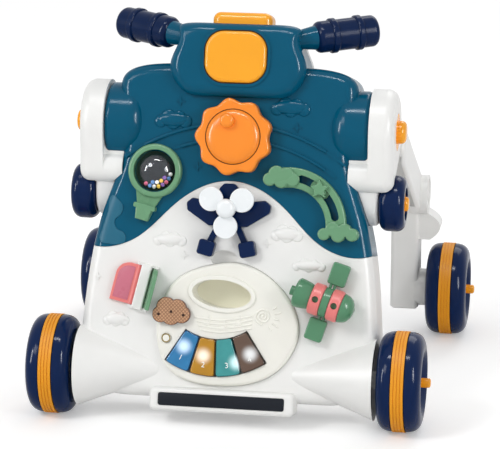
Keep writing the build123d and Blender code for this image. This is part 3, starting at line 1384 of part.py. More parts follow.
# Bee: a core with a head, a collar and a tail, two wings, and two rings that turn on it
collar_half = COLLAR_WIDTH / 2
ring_start = collar_half + SLIDE
ring_end = ring_start + RING_WIDTH
core_r = RING_BORE_R - RUN
head_end = -ring_end - SLIDE
tail_start = ring_end + SLIDE
bee_axis = Axis(BEE.origin, BEE.x_dir)
with BuildPart() as bee_body:
    with BuildSketch(BEE):
        with BuildLine():
            Polyline(
                (head_end - BEE_HEAD_LENGTH - NUB_R, 0), (head_end - BEE_HEAD_LENGTH - NUB_R, NUB_R),
                (head_end - BEE_HEAD_LENGTH, NUB_R), (head_end - BEE_HEAD_LENGTH, COLLAR_R - 2),
                (head_end - BEE_HEAD_LENGTH + 2, COLLAR_R),
            )
            Spline(
                (head_end - BEE_HEAD_LENGTH + 2, COLLAR_R), (head_end, core_r + 1), tangents=[(1, 0), (1, -0.3)]
            )
            Polyline(
                (head_end, core_r + 1), (head_end, core_r), (-collar_half, core_r), (-collar_half, COLLAR_R),
                (collar_half, COLLAR_R), (collar_half, core_r), (tail_start, core_r),
                (tail_start, COLLAR_R),
            )
            Spline(
                (tail_start, COLLAR_R), (tail_start + BEE_TAIL_LENGTH, 0), tangents=[(1, -0.1), (0, -1)]
            )
            Line((tail_start + BEE_TAIL_LENGTH, 0), (head_end - BEE_HEAD_LENGTH - NUB_R, 0))
        make_face()
    revolve(axis=bee_axis)
    with BuildSketch(BEE.offset(-BEE_AXIS_W)):
        with Locations((head_end - BEE_HEAD_LENGTH / 2, 0), (tail_start + BEE_TAIL_LENGTH / 2, 0)):
            Circle(FOOT_R)
    extrude(amount=BEE_AXIS_W)
    for side in (1, -1):
        wing_y = side * (RING_R + WING_PLATE_GAP + WING_PLATE_LENGTH / 2)
        with BuildSketch(BEE.offset(-BEE_AXIS_W + WING_PLATE_THICK / 2)):
            with Locations((side * WING_STAGGER, wing_y)):
                RectangleRounded(WING_PLATE_WIDTH, WING_PLATE_LENGTH, WING_PLATE_EDGE)
        extrude(amount=WING_PLATE_THICK)
        fillet(bee_body.faces(Select.LAST).sort_by(OUTWARD)[-1].edges(), WALL / 2)
        with BuildSketch(BEE.offset(-BEE_AXIS_W)):
            with Locations((side * WING_STAGGER, wing_y)):
                Circle(FOOT_R)
        extrude(amount=WING_PLATE_THICK)
        pin_plane = Plane(
            origin=BEE.from_local_coords(Vector(0, side * core_r, -WING_PLATE_THICK)),
            x_dir=BEE.x_dir, z_dir=BEE.y_dir * side,
        )
        with BuildSketch(pin_plane):
            with GridLocations(WING_PIN_GAP, 1, 2, 1):
                Circle(WING_PIN_R)
        extrude(amount=RING_R + WING_PLATE_GAP + WING_PLATE_EDGE - core_r)
save(bee_body, "bee_body")

for start, name in ((-ring_end, "head_ring"), (ring_start, "tail_ring")):
    with BuildPart() as ring:
        with BuildSketch(BEE):
            with Locations((start, RING_BORE_R)):
                Rectangle(RING_WIDTH, RING_R - RING_BORE_R, align=(Align.MIN, Align.MIN))
        revolve(axis=bee_axis)
        fillet(ring.edges().filter_by(GeomType.CIRCLE).sort_by(SortBy.RADIUS)[-2:], RING_EDGE)
        with BuildSketch(BEE):
            with Locations((start + RING_WIDTH / 2, 0)):
                Circle(RING_HOLE_R)
        extrude(amount=RING_R + 1, mode=Mode.SUBTRACT)
    save(ring, f"bee_{name}")


def key_point(radius, angle):
    """A point of the key fan, by its radius and its angle from straight down the panel."""
    return (KEY_U + radius * sin(radians(angle)), KEY_V - radius * cos(radians(angle)))


def fan(inner, outer, start, end):
    """A sector of the key fan."""
    middle = (start + end) / 2
    with BuildLine() as edge:
        Line(key_point(inner, start), key_point(outer, start))
        ThreePointArc(key_point(outer, start), key_point(outer, middle), key_point(outer, end))
        Line(key_point(outer, end), key_point(inner, end))
        ThreePointArc(key_point(inner, end), key_point(inner, middle), key_point(inner, start))
    make_face(edge.edges())


def grasp_hole(grow=0.0):
    """The hand hole through the piano, grown all round."""
    with Locations(Location((GRASP_U, GRASP_V, 0), (0, 0, GRASP_TURN))):
        Ellipse(GRASP_HALF_WIDTH + grow, GRASP_HALF_HEIGHT + grow)


# Piano case: skirt and deck with the key well, the hand hole and two button holes
case_low = -(POCKET_DEPTH - SLIDE - PIANO_BASE)
deck_low = PIANO_PROUD - PIANO_DECK
well_floor = deck_low + KEY_FLOOR
key_low = PIANO_PROUD - KEY_SUNK
barrel_w = key_low
side_gap = degrees(KEY_GAP / 2 / KEY_IN_R)
with BuildPart() as piano_case:
    with BuildSketch(PANEL.offset(case_low)):
        piano_outline()
    extrude(amount=PIANO_PROUD - case_low)
    fillet(piano_case.faces().sort_by(OUTWARD)[-1].edges(), PIANO_EDGE)
    with BuildSketch(PANEL.offset(case_low)):
        piano_outline(-PIANO_WALL)
    extrude(amount=deck_low - case_low, mode=Mode.SUBTRACT)
    with BuildSketch(PANEL.offset(case_low)):
        grasp_hole(PIANO_WALL)
    extrude(amount=PIANO_PROUD - case_low)
    with BuildSketch(PANEL.offset(deck_low)):
        grasp_hole(GRASP_RIM)
    extrude(amount=PIANO_DECK + GRASP_RIM_PROUD)
    fillet(piano_case.faces(Select.LAST).sort_by(OUTWARD)[-1].edges(), GRASP_RIM_PROUD * 0.8)
    with BuildSketch(PANEL.offset(case_low)):
        grasp_hole()
    extrude(amount=FAR, mode=Mode.SUBTRACT)
    with BuildSketch(PANEL.offset(well_floor)):
        fan(KEY_IN_R - SLIDE, KEY_OUT_R + SLIDE, KEY_EDGES[0] - side_gap, KEY_EDGES[-1] + side_gap)
    extrude(amount=FAR, mode=Mode.SUBTRACT)
    with BuildSketch(PANEL.offset(deck_low)):
        fan(KEY_IN_R, KEY_IN_R + 2 * WALL, KEY_EDGES[0], KEY_EDGES[-1])
    extrude(amount=barrel_w - KEY_BARREL_R - SLIDE - deck_low)
    with BuildSketch(PANEL.offset(well_floor)):
        with Locations((PUFF_U, PUFF_V)):
            Rectangle(PUFF_STEM[0] + 2 * SLIDE, PUFF_STEM[1] + 2 * SLIDE)
        with Locations((MODE_U, MODE_V)):
            Circle(MODE_R + SLIDE)
    extrude(amount=FAR, mode=Mode.SUBTRACT)
save(piano_case, "piano_case")

# Piano base with its battery opening
with BuildPart() as piano_base:
    with BuildSketch(PANEL.offset(case_low)):
        piano_outline()
        with Locations((DOOR_U, DOOR_V)):
            RectangleRounded(DOOR_SIZE[0] + 2 * SEAM, DOOR_SIZE[1] + 2 * SEAM, WALL, mode=Mode.SUBTRACT)
    extrude(amount=-PIANO_BASE)
    with BuildSketch(PANEL.offset(case_low)):
        grasp_hole()
    extrude(amount=-PIANO_BASE, mode=Mode.SUBTRACT)
save(piano_base, "piano_base")

with BuildPart() as battery_door:
    with BuildSketch(PANEL.offset(case_low)):
        with Locations((DOOR_U, DOOR_V)):
            RectangleRounded(*DOOR_SIZE, WALL)
    extrude(amount=-PIANO_BASE)
save(battery_door, "battery_door")

# Three cells lying on the door, one group
with BuildPart() as batteries:
    for cell in range(CELLS):
        centre = panel_point(
            DOOR_U - CELL_LENGTH / 2, CELL_V + cell * (2 * CELL_R + CELL_GAP), case_low + CELL_R + FIT
        )
        with BuildSketch(Plane(origin=centre, z_dir=(1, 0, 0))):
            Circle(CELL_R)
        extrude(amount=CELL_LENGTH)
save(batteries, "batteries")

# Speaker and circuit board under the deck
with BuildPart() as speaker:
    with BuildSketch(PANEL.offset(deck_low)):
        with Locations((SPEAKER_U, SPEAKER_V)):
            Circle(SPEAKER_R)
    extrude(amount=-SPEAKER_DEEP, taper=30)
save(speaker, "speaker")

with BuildPart() as circuit_board:
    with BuildSketch(PANEL.offset(deck_low)):
        with Locations((BOARD_U, BOARD_V)):
            Rectangle(*BOARD_SIZE)
    extrude(amount=-BOARD_THICK)
save(circuit_board, "circuit_board")

# Four keys, each rocking on a barrel at its inner end
for index, colour in enumerate(("blue", "amber", "teal", "brown")):
    start, end = KEY_EDGES[index], KEY_EDGES[index + 1]
    middle = (start + end) / 2
    with BuildPart() as key:
        with BuildSketch(PANEL.offset(key_low)) as key_face:
            fan(KEY_IN_R, KEY_OUT_R, start + side_gap, end - side_gap)
            fillet(key_face.vertices(), KEY_CORNER)
        extrude(amount=KEY_SUNK + KEY_PROUD)
        fillet(key.faces().sort_by(OUTWARD)[-1].edges(), KEY_EDGE)
        barrel = key_point(KEY_IN_R + WALL, middle)
        tangent = PANEL.x_dir * cos(radians(middle)) + PANEL.y_dir * sin(radians(middle))
        barrel_end = panel_point(barrel[0], barrel[1], barrel_w) - tangent * (KEY_BARREL_LENGTH / 2)
        with BuildSketch(Plane(origin=barrel_end, z_dir=tangent)):
            Circle(KEY_BARREL_R)
        extrude(amount=KEY_BARREL_LENGTH)
    save(key, f"{colour}_key")

# Cloud button and small round button on the piano
with BuildPart() as cloud_button:
    with BuildSketch(PANEL.offset(PIANO_PROUD + PUFF_TRAVEL + SLIDE)):
        with Locations((PUFF_U, PUFF_V)):
            cloud(PUFF_WIDTH, PUFF_HEIGHT)
    extrude(amount=PUFF_THICK)
    fillet(cloud_button.faces().sort_by(OUTWARD)[-1].edges(), KEY_EDGE)
    with BuildSketch(PANEL.offset(well_floor + PUFF_TRAVEL + SLIDE)):
        with Locations((PUFF_U, PUFF_V)):
            Rectangle(*PUFF_STEM)
    extrude(amount=PIANO_PROUD + SLIDE - well_floor)
save(cloud_button, "cloud_button")

with BuildPart() as mode_button:
    with BuildSketch(PANEL.offset(well_floor + MODE_TRAVEL + SLIDE)):
        with Locations((MODE_U, MODE_V)):
            Circle(MODE_R)
    extrude(amount=PIANO_PROUD + MODE_PROUD - well_floor - MODE_TRAVEL - SLIDE)
    fillet(mode_button.faces().sort_by(OUTWARD)[-1].edges(), MODE_PROUD / 2)
save(mode_button, "mode_button")
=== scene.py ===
# %% [markdown]
# # A push-along baby walker
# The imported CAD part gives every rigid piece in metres, in the frame of the real object: X to the
# viewer's right, Y back towards the child, Z up. This notebook dresses those pieces with moulded
# plastics, adds the thin trim that CAD leaves out, and sets a camera and plain studio light.

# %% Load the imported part
from math import cos, pi, radians, sin

import bmesh
import bpy
from mathutils import Matrix, Vector
from mathutils.bvhtree import BVHTree


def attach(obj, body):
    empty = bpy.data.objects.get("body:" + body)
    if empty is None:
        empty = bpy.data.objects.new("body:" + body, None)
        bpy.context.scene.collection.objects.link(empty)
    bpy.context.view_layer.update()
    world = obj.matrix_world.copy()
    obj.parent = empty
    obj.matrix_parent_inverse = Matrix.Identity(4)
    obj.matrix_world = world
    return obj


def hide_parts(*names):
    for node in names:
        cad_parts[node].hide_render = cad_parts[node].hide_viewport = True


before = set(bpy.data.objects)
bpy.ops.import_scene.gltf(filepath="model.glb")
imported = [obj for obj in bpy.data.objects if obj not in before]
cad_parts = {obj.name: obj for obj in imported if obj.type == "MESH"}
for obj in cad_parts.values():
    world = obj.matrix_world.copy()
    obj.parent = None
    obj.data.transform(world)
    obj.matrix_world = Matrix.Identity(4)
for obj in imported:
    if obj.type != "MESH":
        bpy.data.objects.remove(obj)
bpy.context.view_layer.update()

# %% [markdown]
# ## Camera
# The product picture was taken with a long lens, a little to the right of the middle and from
# about hip height of a child. A long lens keeps the wheels' circles almost undistorted. The camera
# is placed by angles round a point near the walker's middle, because those were measured.

# %% Camera
AIM = Vector((0.0, -0.01758, 0.16941))
AZIMUTH, ELEVATION, DISTANCE = radians(9.406), radians(15.942), 2.9032
SENSOR, FOCAL = 36.0, 194.4
away = Vector((sin(AZIMUTH) * cos(ELEVATION), -cos(AZIMUTH) * cos(ELEVATION), sin(ELEVATION)))
lens = bpy.data.cameras.new("camera")
lens.sensor_fit = "HORIZONTAL"
lens.sensor_width = SENSOR
lens.lens = FOCAL
camera = bpy.data.objects.new("camera", lens)
camera.location = AIM + away * DISTANCE
camera.rotation_euler = (-away).to_track_quat("-Z", "Y").to_euler()
bpy.context.collection.objects.link(camera)
bpy.context.scene.camera = camera
bpy.context.scene.view_settings.view_transform = "Standard"
print("camera at", [round(c, 3) for c in camera.location])

# %% [markdown]
# ## Colours and nodes
# Colours are written as the hex values one would pick from a picture. Blender's shaders work in
# linear light, so one function converts them. A second small function adds a node, sets it and
# links its inputs, which keeps each material short enough to read.

# %% Helpers for materials


def linear(code):
    """Linear RGBA from an sRGB hex value."""
    parts = [int(code[i:i + 2], 16) / 255 for i in (1, 3, 5)]
    return tuple(c / 12.92 if c <= 0.04045 else ((c + 0.055) / 1.055) ** 2.4 for c in parts) + (1.0,)


def add_node(tree, kind, inputs=None, **settings):
    """Add a node; an input is a plain value or the output socket of another node."""
    node = tree.nodes.new(kind)
    for name, value in settings.items():
        setattr(node, name, value)
    for name, value in (inputs or {}).items():
        if isinstance(value, bpy.types.NodeSocket):
            tree.links.new(value, node.inputs[name])
        else:
            node.inputs[name].default_value = value
    return node


def new_material(name):
    """An empty material with its output node."""
    material = bpy.data.materials.new(name)
    material.use_nodes = True
    material.node_tree.nodes.clear()
    output = material.node_tree.nodes.new("ShaderNodeOutputMaterial")
    return material, material.node_tree, output


print("material helpers ready")

# %% [markdown]
# ## Studio
# A plain pale floor, a white surround and broad soft lamps. The world is white where the camera,
# a reflection or a refraction sees it, and gentler as a lamp, so that pale mouldings keep their shade.
# The floor turns to the same white a couple of metres out, which leaves no horizon in a low view.
# Narrow strip lamps draw the crisp bright lines that polished plastic shows along its edges. They are
# seen in reflections alone, so they don't flatten the shading of the broad lamps.

# %% World
WHITE = (1, 1, 1, 1)
WORLD_LAMP = 0.60
world = bpy.data.worlds.new("studio")
world.use_nodes = True
tree = world.node_tree
tree.nodes.clear()
path = add_node(tree, "ShaderNodeLightPath")
direct = add_node(tree, "ShaderNodeMath", {
    0: path.outputs["Is Camera Ray"], 1: path.outputs["Is Glossy Ray"]}, operation="ADD")
seen = add_node(tree, "ShaderNodeMath", {
    0: direct.outputs[0], 1: path.outputs["Is Transmission Ray"]}, operation="ADD", use_clamp=True)
glow = add_node(tree, "ShaderNodeMapRange", {"Value": seen.outputs[0], "To Min": WORLD_LAMP, "To Max": 1.0})
surround = add_node(tree, "ShaderNodeBackground", {"Color": WHITE, "Strength": glow.outputs[0]})
sky = tree.nodes.new("ShaderNodeOutputWorld")
tree.links.new(surround.outputs[0], sky.inputs["Surface"])
bpy.context.scene.world = world
print("world ready")

# %% Floor
# White card is quite matt, so it shows the soft shadow and no reflection of the walker.
FLOOR_HALF, FLOOR_LIFT = 6.0, 0.26
FADE_START, FADE_END = 0.7, 2.2
floor_paint, tree, output = new_material("floor_white_card")
path = add_node(tree, "ShaderNodeLightPath")
card = add_node(tree, "ShaderNodeBsdfDiffuse", {"Color": (0.9, 0.9, 0.9, 1)})
bright = add_node(tree, "ShaderNodeEmission", {"Color": WHITE, "Strength": FLOOR_LIFT})
lifted = add_node(tree, "ShaderNodeAddShader", {0: card.outputs[0], 1: bright.outputs[0]})
where = add_node(tree, "ShaderNodeTexCoord").outputs["Object"]
reach = add_node(tree, "ShaderNodeVectorMath", {0: where}, operation="LENGTH")
far = add_node(tree, "ShaderNodeMapRange", {
    "Value": reach.outputs["Value"], "From Min": FADE_START, "From Max": FADE_END})
blank = add_node(tree, "ShaderNodeEmission", {"Color": WHITE, "Strength": 1.0})
faded = add_node(tree, "ShaderNodeMixShader", {
    0: far.outputs[0], 1: lifted.outputs[0], 2: blank.outputs[0]})
shown = add_node(tree, "ShaderNodeMixShader", {
    0: path.outputs["Is Camera Ray"], 1: card.outputs[0], 2: faded.outputs[0]})
tree.links.new(shown.outputs[0], output.inputs["Surface"])
sheet = bmesh.new()
bmesh.ops.create_grid(sheet, x_segments=1, y_segments=1, size=FLOOR_HALF)
floor_mesh = bpy.data.meshes.new("floor")
sheet.to_mesh(floor_mesh)
sheet.free()
floor_mesh.materials.append(floor_paint)
floor = bpy.data.objects.new("floor", floor_mesh)
bpy.context.collection.objects.link(floor)
print("floor ready")

# %% Lamps
STUDIO_AIM = Vector((0, 0, 0.2))
for name, place, wide, tall, power in (
    ("key_lamp", (-1.5, -1.9, 2.1), 0.9, 0.9, 29.0),
    ("fill_lamp", (2.1, -1.5, 1.1), 0.8, 0.8, 13.0),
    ("back_lamp", (0.5, 1.9, 2.0), 1.2, 1.2, 15.0),
    ("left_strip", (-1.7, -1.3, 0.9), 0.2, 1.0, 32.0),
    ("right_strip", (1.8, -1.2, 1.0), 0.2, 1.0, 32.0),
    ("top_strip", (0.0, -0.7, 2.2), 1.2, 0.2, 32.0),
):
    lamp = bpy.data.lights.new(name, "AREA")
    lamp.shape = "RECTANGLE"
    lamp.size, lamp.size_y = wide, tall
    lamp.energy = power
    holder = bpy.data.objects.new(name, lamp)
    holder.location = place
    holder.rotation_euler = (STUDIO_AIM - Vector(place)).to_track_quat("-Z", "Y").to_euler()
    holder.visible_diffuse = not name.endswith("strip")
    bpy.context.collection.objects.link(holder)
    print(name, power, "W")

# %% [markdown]
# ## Moulded plastics
# Nearly every piece of a toy like this is injection-moulded ABS or polypropylene. The steel mould is
# either polished, which gives sharp highlights, or lightly spark-eroded, which gives a satin skin
# with a grain of about half a millimetre. The pigment is never perfectly even, so the colour drifts a
# little over a few centimetres. The grain is drawn about twice as coarse as it is, so that it shows.
# The same recipe, with another grain and less shine, does for the rubber, card, film, foam and ink.

# %% Moulded plastic
DRIFT_SIZE = 0.035


def moulded(name, code, roughness, grain_mm=1.2, depth_mm=0.02, drift=0.035, shine=0.4):
    """Moulded plastic: drifting pigment, uneven gloss and a fine mould grain."""
    material, tree, output = new_material(name)
    where = add_node(tree, "ShaderNodeTexCoord").outputs["Object"]
    cloud = add_node(tree, "ShaderNodeTexNoise", {"Vector": where, "Scale": 1 / DRIFT_SIZE, "Detail": 3.0})
    base = linear(code)
    pale = tuple(min(1.0, c * (1 + drift) + 0.002) for c in base[:3]) + (1.0,)
    deep = tuple(c * (1 - drift) for c in base[:3]) + (1.0,)
    pigment = add_node(tree, "ShaderNodeMix", {
        "Factor": cloud.outputs["Fac"], 6: deep, 7: pale}, data_type="RGBA")
    gloss = add_node(tree, "ShaderNodeMapRange", {
        "Value": cloud.outputs["Fac"], "From Min": 0.3, "From Max": 0.7,
        "To Min": roughness - 0.04, "To Max": roughness + 0.04})
    grain = add_node(tree, "ShaderNodeTexNoise", {"Vector": where, "Scale": 1000 / grain_mm, "Detail": 2.0})
    skin = add_node(tree, "ShaderNodeBump", {
        "Height": grain.outputs["Fac"], "Strength": 0.35, "Distance": depth_mm / 1000})
    shader = add_node(tree, "ShaderNodeBsdfPrincipled", {
        "Base Color": pigment.outputs[2], "Roughness": gloss.outputs[0], "Normal": skin.outputs[0],
        "IOR": 1.5, "Specular IOR Level": shine})
    tree.links.new(shader.outputs[0], output.inputs["Surface"])
    return material


# Satin ABS: pale, with broad soft highlights and gentle shading.
white_abs = moulded("white_abs_satin", "#EDEDEB", 0.36, shine=0.3)
cream_abs = moulded("cream_abs_satin", "#EFEEE6", 0.40, shine=0.3)
# Polished dark ABS: a deep colour with narrow bright lines along the edges.
teal_abs = moulded("teal_abs_semi_gloss", "#005471", 0.16, depth_mm=0.008, shine=0.12)
navy_abs = moulded("navy_abs_polished", "#06204A", 0.14, depth_mm=0.006, shine=0.11)
# Bright pigmented ABS: a strong even colour, softly bright where an edge turns to the light.
lamp_abs = moulded("amber_yellow_abs_polished", "#FAA823", 0.18, depth_mm=0.01, shine=0.3)
sun_abs = moulded("sun_orange_abs_satin", "#FA8F2A", 0.22, depth_mm=0.01, shine=0.3)
sage_abs = moulded("sage_green_abs_satin", "#6A9A75", 0.26, depth_mm=0.01, shine=0.3)
bee_abs = moulded("bee_green_abs_satin", "#558A68", 0.24, depth_mm=0.01, shine=0.3)
pink_abs = moulded("salmon_pink_abs_satin", "#E8807D", 0.34, shine=0.3)
# Polystyrene: a cooler white than the shells, and a little sharper in its highlights.
propeller_white = moulded("propeller_white_polystyrene", "#EEF2F4", 0.25, depth_mm=0.008)
# Thermoplastic rubber: matt and grainy on the treads, with a dull sheen on the grips.
tread_rubber = moulded("tread_thermoplastic_rubber", "#E89A17", 0.50, grain_mm=0.9, depth_mm=0.04,
                       shine=0.25)
grip_rubber = moulded("grip_soft_navy_rubber", "#061F46", 0.20, grain_mm=0.8, depth_mm=0.012, shine=0.11)
print("moulded plastics ready")

# %% [markdown]
# ## Places on the panel
# The toys sit on a panel that leans back by 16 degrees. Trim is modelled flat, in millimetres, with
# the panel's surface as its ground, and one matrix then carries it to its place. The matrix is applied
# to the mesh, so the object itself stays at the origin like the CAD pieces.

# %% Panel matrix
MM = 0.001
LEAN = radians(16)
PANEL_Y, PANEL_Z = -0.176, 0.052
PANEL = Matrix((
    (1, 0, 0, 0),
    (0, sin(LEAN), -cos(LEAN), PANEL_Y),
    (0, cos(LEAN), sin(LEAN), PANEL_Z),
    (0, 0, 0, 1),
))


def on_panel(u, v, w=0.0, turn=0.0):
    """Matrix from flat millimetres to a place across, up and out of the panel."""
    shift = Matrix.Translation((u * MM, v * MM, w * MM))
    return PANEL @ shift @ Matrix.Rotation(radians(turn), 4, "Z") @ Matrix.Scale(MM, 4)


def height_of(node):
    """How far a CAD piece stands out of the panel, in millimetres."""
    back = PANEL.inverted()
    return max((back @ v.co).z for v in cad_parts[node].data.vertices) / MM


print("the sun stands out", round(height_of("sun_cap"), 1), "mm")

# %% [markdown]
# ## Clear and tinted mouldings
# The keys and the cloud button are tinted polystyrene over small lights: coloured right through, cloudy
# inside and glossy outside, so some light is let through and some is scattered. Round each key's light a
# pale halo is painted in as a glow on the surface, which fades over a centimetre. The side walls, which
# turn away from the panel's front, are painted darker as shade. Under the cloud lies a fine lattice of
# crossed bars, drawn a little coarser than it is, so that it shows. The balloon's dome is clear
# polycarbonate. Its index is set low, because a thin shell bends light less than the solid lens that the
# shader takes it for, and a clear coat brings back the highlights.

# %% Tinted plastic
SWIRL_SIZE, PAINTED_GLOW_REACH = 0.012, 0.012


def tinted(name, code, bar_and_wall_shade_code, through, light=None, lattice_mm=None):
    """Tinted polystyrene, cloudy inside, polished outside, with painted shade on its side walls and a painted
    glow round a given light.
    """
    material, tree, output = new_material(name)
    where = add_node(tree, "ShaderNodeTexCoord").outputs["Object"]
    swirl = add_node(tree, "ShaderNodeTexNoise", {"Vector": where, "Scale": 1 / SWIRL_SIZE, "Detail": 2.0})
    base = linear(code)
    deep = tuple(c * 0.85 for c in base[:3]) + (1.0,)
    pale = tuple(min(1.0, c * 1.15 + 0.01) for c in base[:3]) + (1.0,)
    dye = add_node(tree, "ShaderNodeMix", {
        "Factor": swirl.outputs["Fac"], 6: deep, 7: pale}, data_type="RGBA")
    if lattice_mm:
        bars = []
        for turn in (45, -45):
            turned = add_node(tree, "ShaderNodeMapping", {"Vector": where, "Rotation": (0, radians(turn), 0)})
            bars.append(add_node(tree, "ShaderNodeTexWave", {
                "Vector": turned.outputs[0], "Scale": pi / 10 / (lattice_mm / 1000)}))
        crossed = add_node(tree, "ShaderNodeMath", {
            0: bars[0].outputs["Fac"], 1: bars[1].outputs["Fac"]}, operation="MAXIMUM")
        dark = add_node(tree, "ShaderNodeMapRange", {
            "Value": crossed.outputs[0], "From Min": 0.6, "From Max": 1.0, "To Max": 0.6})
        dye = add_node(tree, "ShaderNodeMix", {
            "Factor": dark.outputs[0], 6: dye.outputs[2], 7: linear(bar_and_wall_shade_code)}, data_type="RGBA")
    # Painted shade: faces that turn away from the panel's front are mixed towards the darker side-wall
    # colour.
    normal = add_node(tree, "ShaderNodeNewGeometry").outputs["Normal"]
    facing = add_node(tree, "ShaderNodeVectorMath", {0: normal, 1: PANEL.col[2][:3]}, operation="DOT_PRODUCT")
    painted_wall_shade = add_node(tree, "ShaderNodeMapRange", {
        "Value": facing.outputs["Value"], "From Min": 0.95, "From Max": 0.6})
    body = add_node(tree, "ShaderNodeMix", {
        "Factor": painted_wall_shade.outputs[0], 6: dye.outputs[2], 7: linear(bar_and_wall_shade_code)}, data_type="RGBA")
    shader = add_node(tree, "ShaderNodeBsdfPrincipled", {
        "Base Color": body.outputs[2], "Roughness": 0.14, "IOR": 1.5, "Specular IOR Level": 0.3,
        "Transmission Weight": through})
    # Painted glow: an emission on the key's surface, brightest at the light's spot and gone a centimetre
    # away, stands for the light under it.
    if light:
        gap = add_node(tree, "ShaderNodeVectorMath", {0: where, 1: light}, operation="DISTANCE")
        painted_glow = add_node(tree, "ShaderNodeMapRange", {
            "Value": gap.outputs["Value"], "From Min": PAINTED_GLOW_REACH, "From Max": 0.0, "To Max": 0.85},
            interpolation_type="SMOOTHERSTEP")
        shader.inputs["Emission Color"].default_value = linear("#F2FBFF")
        tree.links.new(painted_glow.outputs[0], shader.inputs["Emission Strength"])
    tree.links.new(shader.outputs[0], output.inputs["Surface"])
    return material


# Tinted polystyrene with a wet-looking surface; its glow is painted light, and its darker sides are painted
# shade.
KEY_TOP = 9.5
key_dyes = {}
for colour, code, bar_and_wall_shade_code, spot in (
    ("blue", "#2F86BE", "#1C5688", (-42.7, 28.4)),
    ("amber", "#C8901F", "#8A5F12", (-22.1, 19.8)),
    ("teal", "#45A5A5", "#2A7377", (12.8, 14.6)),
    ("brown", "#6E5648", "#43322A", (26.7, 23.7)),
):
    # Each key's painted glow centres on this spot, where its small light sits.
    light = on_panel(*spot, KEY_TOP).translation[:]
    key_dyes[f"{colour}_key"] = tinted(f"{colour}_tinted_polystyrene", code, bar_and_wall_shade_code, 0.2, light)
key_dyes["cloud_button"] = tinted("cloud_copper_tinted_polystyrene", "#CFA07A", "#6A4033", 0.15,
                                  lattice_mm=2.6)
print("tinted plastics ready")

# %% Clear plastic
# Polycarbonate: all but invisible itself, and seen by the lamps that it mirrors.
dome_clear, tree, output = new_material("dome_clear_polycarbonate")
pane = add_node(tree, "ShaderNodeBsdfPrincipled", {
    "Base Color": (0.97, 0.985, 0.985, 1), "Roughness": 0.03, "IOR": 1.2, "Transmission Weight": 1.0,
    "Coat Weight": 1.0, "Coat Roughness": 0.03, "Coat IOR": 1.36})
tree.links.new(pane.outputs[0], output.inputs["Surface"])
print("clear plastic ready")

# %% [markdown]
# ## Small metal and inner pieces
# Steel axles and screws are drawn and turned, which leaves fine scratches. The pieces inside the piano
# are hidden, and still get the finish of the real ones.

# %% Steel, cells and board
SCRATCH_MM = 0.6
# Drawn steel: a bright grey with an uneven sheen.
drawn_steel, tree, output = new_material("drawn_steel")
where = add_node(tree, "ShaderNodeTexCoord").outputs["Object"]
scratches = add_node(tree, "ShaderNodeTexNoise", {"Vector": where, "Scale": 1000 / SCRATCH_MM, "Detail": 2.0})
sheen = add_node(tree, "ShaderNodeMapRange", {
    "Value": scratches.outputs["Fac"], "To Min": 0.22, "To Max": 0.38})
metal = add_node(tree, "ShaderNodeBsdfPrincipled", {
    "Base Color": linear("#B9BBBE"), "Metallic": 1.0, "Roughness": sheen.outputs[0]})
tree.links.new(metal.outputs[0], output.inputs["Surface"])
# Shrink sleeve is dark and glossy, laminate is a dull green, and paper has no shine at all.
cell_wrap = moulded("cell_shrink_sleeve", "#33373C", 0.25)
board_laminate = moulded("board_green_laminate", "#1E5A34", 0.45)
speaker_paper = moulded("speaker_black_paper", "#1B1B1D", 0.7, depth_mm=0.1)
print("inner finishes ready")

# %% [markdown]
# ## Dress the CAD pieces
# Each CAD piece keeps its shape and takes the finish of the real moulding.

# %% Dress the CAD pieces
finishes = {
    white_abs: ("front_shell", "back_cover", "right_pod", "left_pod", "right_leg", "left_leg", "head_back",
                "book_spine"),
    cream_abs: ("piano_case", "piano_base", "battery_door", "mode_button"),
    teal_abs: ("upper_panel", "head_front", "handlebar"),
    navy_abs: ("right_side_wheel", "left_side_wheel", "plane_body"),
    grip_rubber: ("grips",),
    lamp_abs: ("lamp_button", "horn_button", "right_lock_button", "left_lock_button", "right_side_cap",
               "left_side_cap"),
    sun_abs: ("sun_wheel", "sun_cap"),
    sage_abs: ("balloon_frame", "rainbow_track", "star_slider", "green_page"),
    bee_abs: ("bee_body",),
    pink_abs: ("pink_page", "bee_head_ring", "bee_tail_ring", "balloon_beads"),
    propeller_white: ("propeller",),
    drawn_steel: ("front_axles", "cover_screws"),
    dome_clear: ("balloon_dome",),
    cell_wrap: ("batteries",),
    board_laminate: ("circuit_board",),
    speaker_paper: ("speaker",),
}


def dress(node, material):
    """Give a CAD piece its finish."""
    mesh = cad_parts[node].data
    mesh.materials.clear()
    mesh.materials.append(material)


for material, nodes in finishes.items():
    for node in nodes:
        dress(node, material)
for node, material in key_dyes.items():
    dress(node, material)
for end in ("front", "rear"):
    for hand in ("left", "right"):
        dress(f"{end}_{hand}_rim", navy_abs)
        dress(f"{end}_{hand}_band", tread_rubber)
        dress(f"{end}_{hand}_cap", lamp_abs)
print("pieces dressed")

# %% [markdown]
# ## Making trim
# Trim is made in bmesh. One helper carries a shape to its place, gives it its materials and tells the
# part which moving body it rides on. Another raises a flat sheet to a plate and softens its front edge,
# two more make the flat forms that come up most often, and the last turns a curve or a figure to a mesh.

# %% Helpers for trim


def add_piece(name, shape, place, materials, body):
    """Turn a bmesh into a piece that rides on a body."""
    bmesh.ops.transform(shape, matrix=place, verts=shape.verts)
    bmesh.ops.remove_doubles(shape, verts=shape.verts, dist=1e-6)
    bmesh.ops.recalc_face_normals(shape, faces=shape.faces)
    mesh = bpy.data.meshes.new(name)
    shape.to_mesh(mesh)
    shape.free()
    for material in materials:
        mesh.materials.append(material)
    mesh.shade_smooth()
    mesh.set_sharp_from_angle(angle=radians(40))
    piece = bpy.data.objects.new(name, mesh)
    bpy.context.collection.objects.link(piece)
    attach(piece, body)
    print(name, len(mesh.polygons), "faces")
    return piece


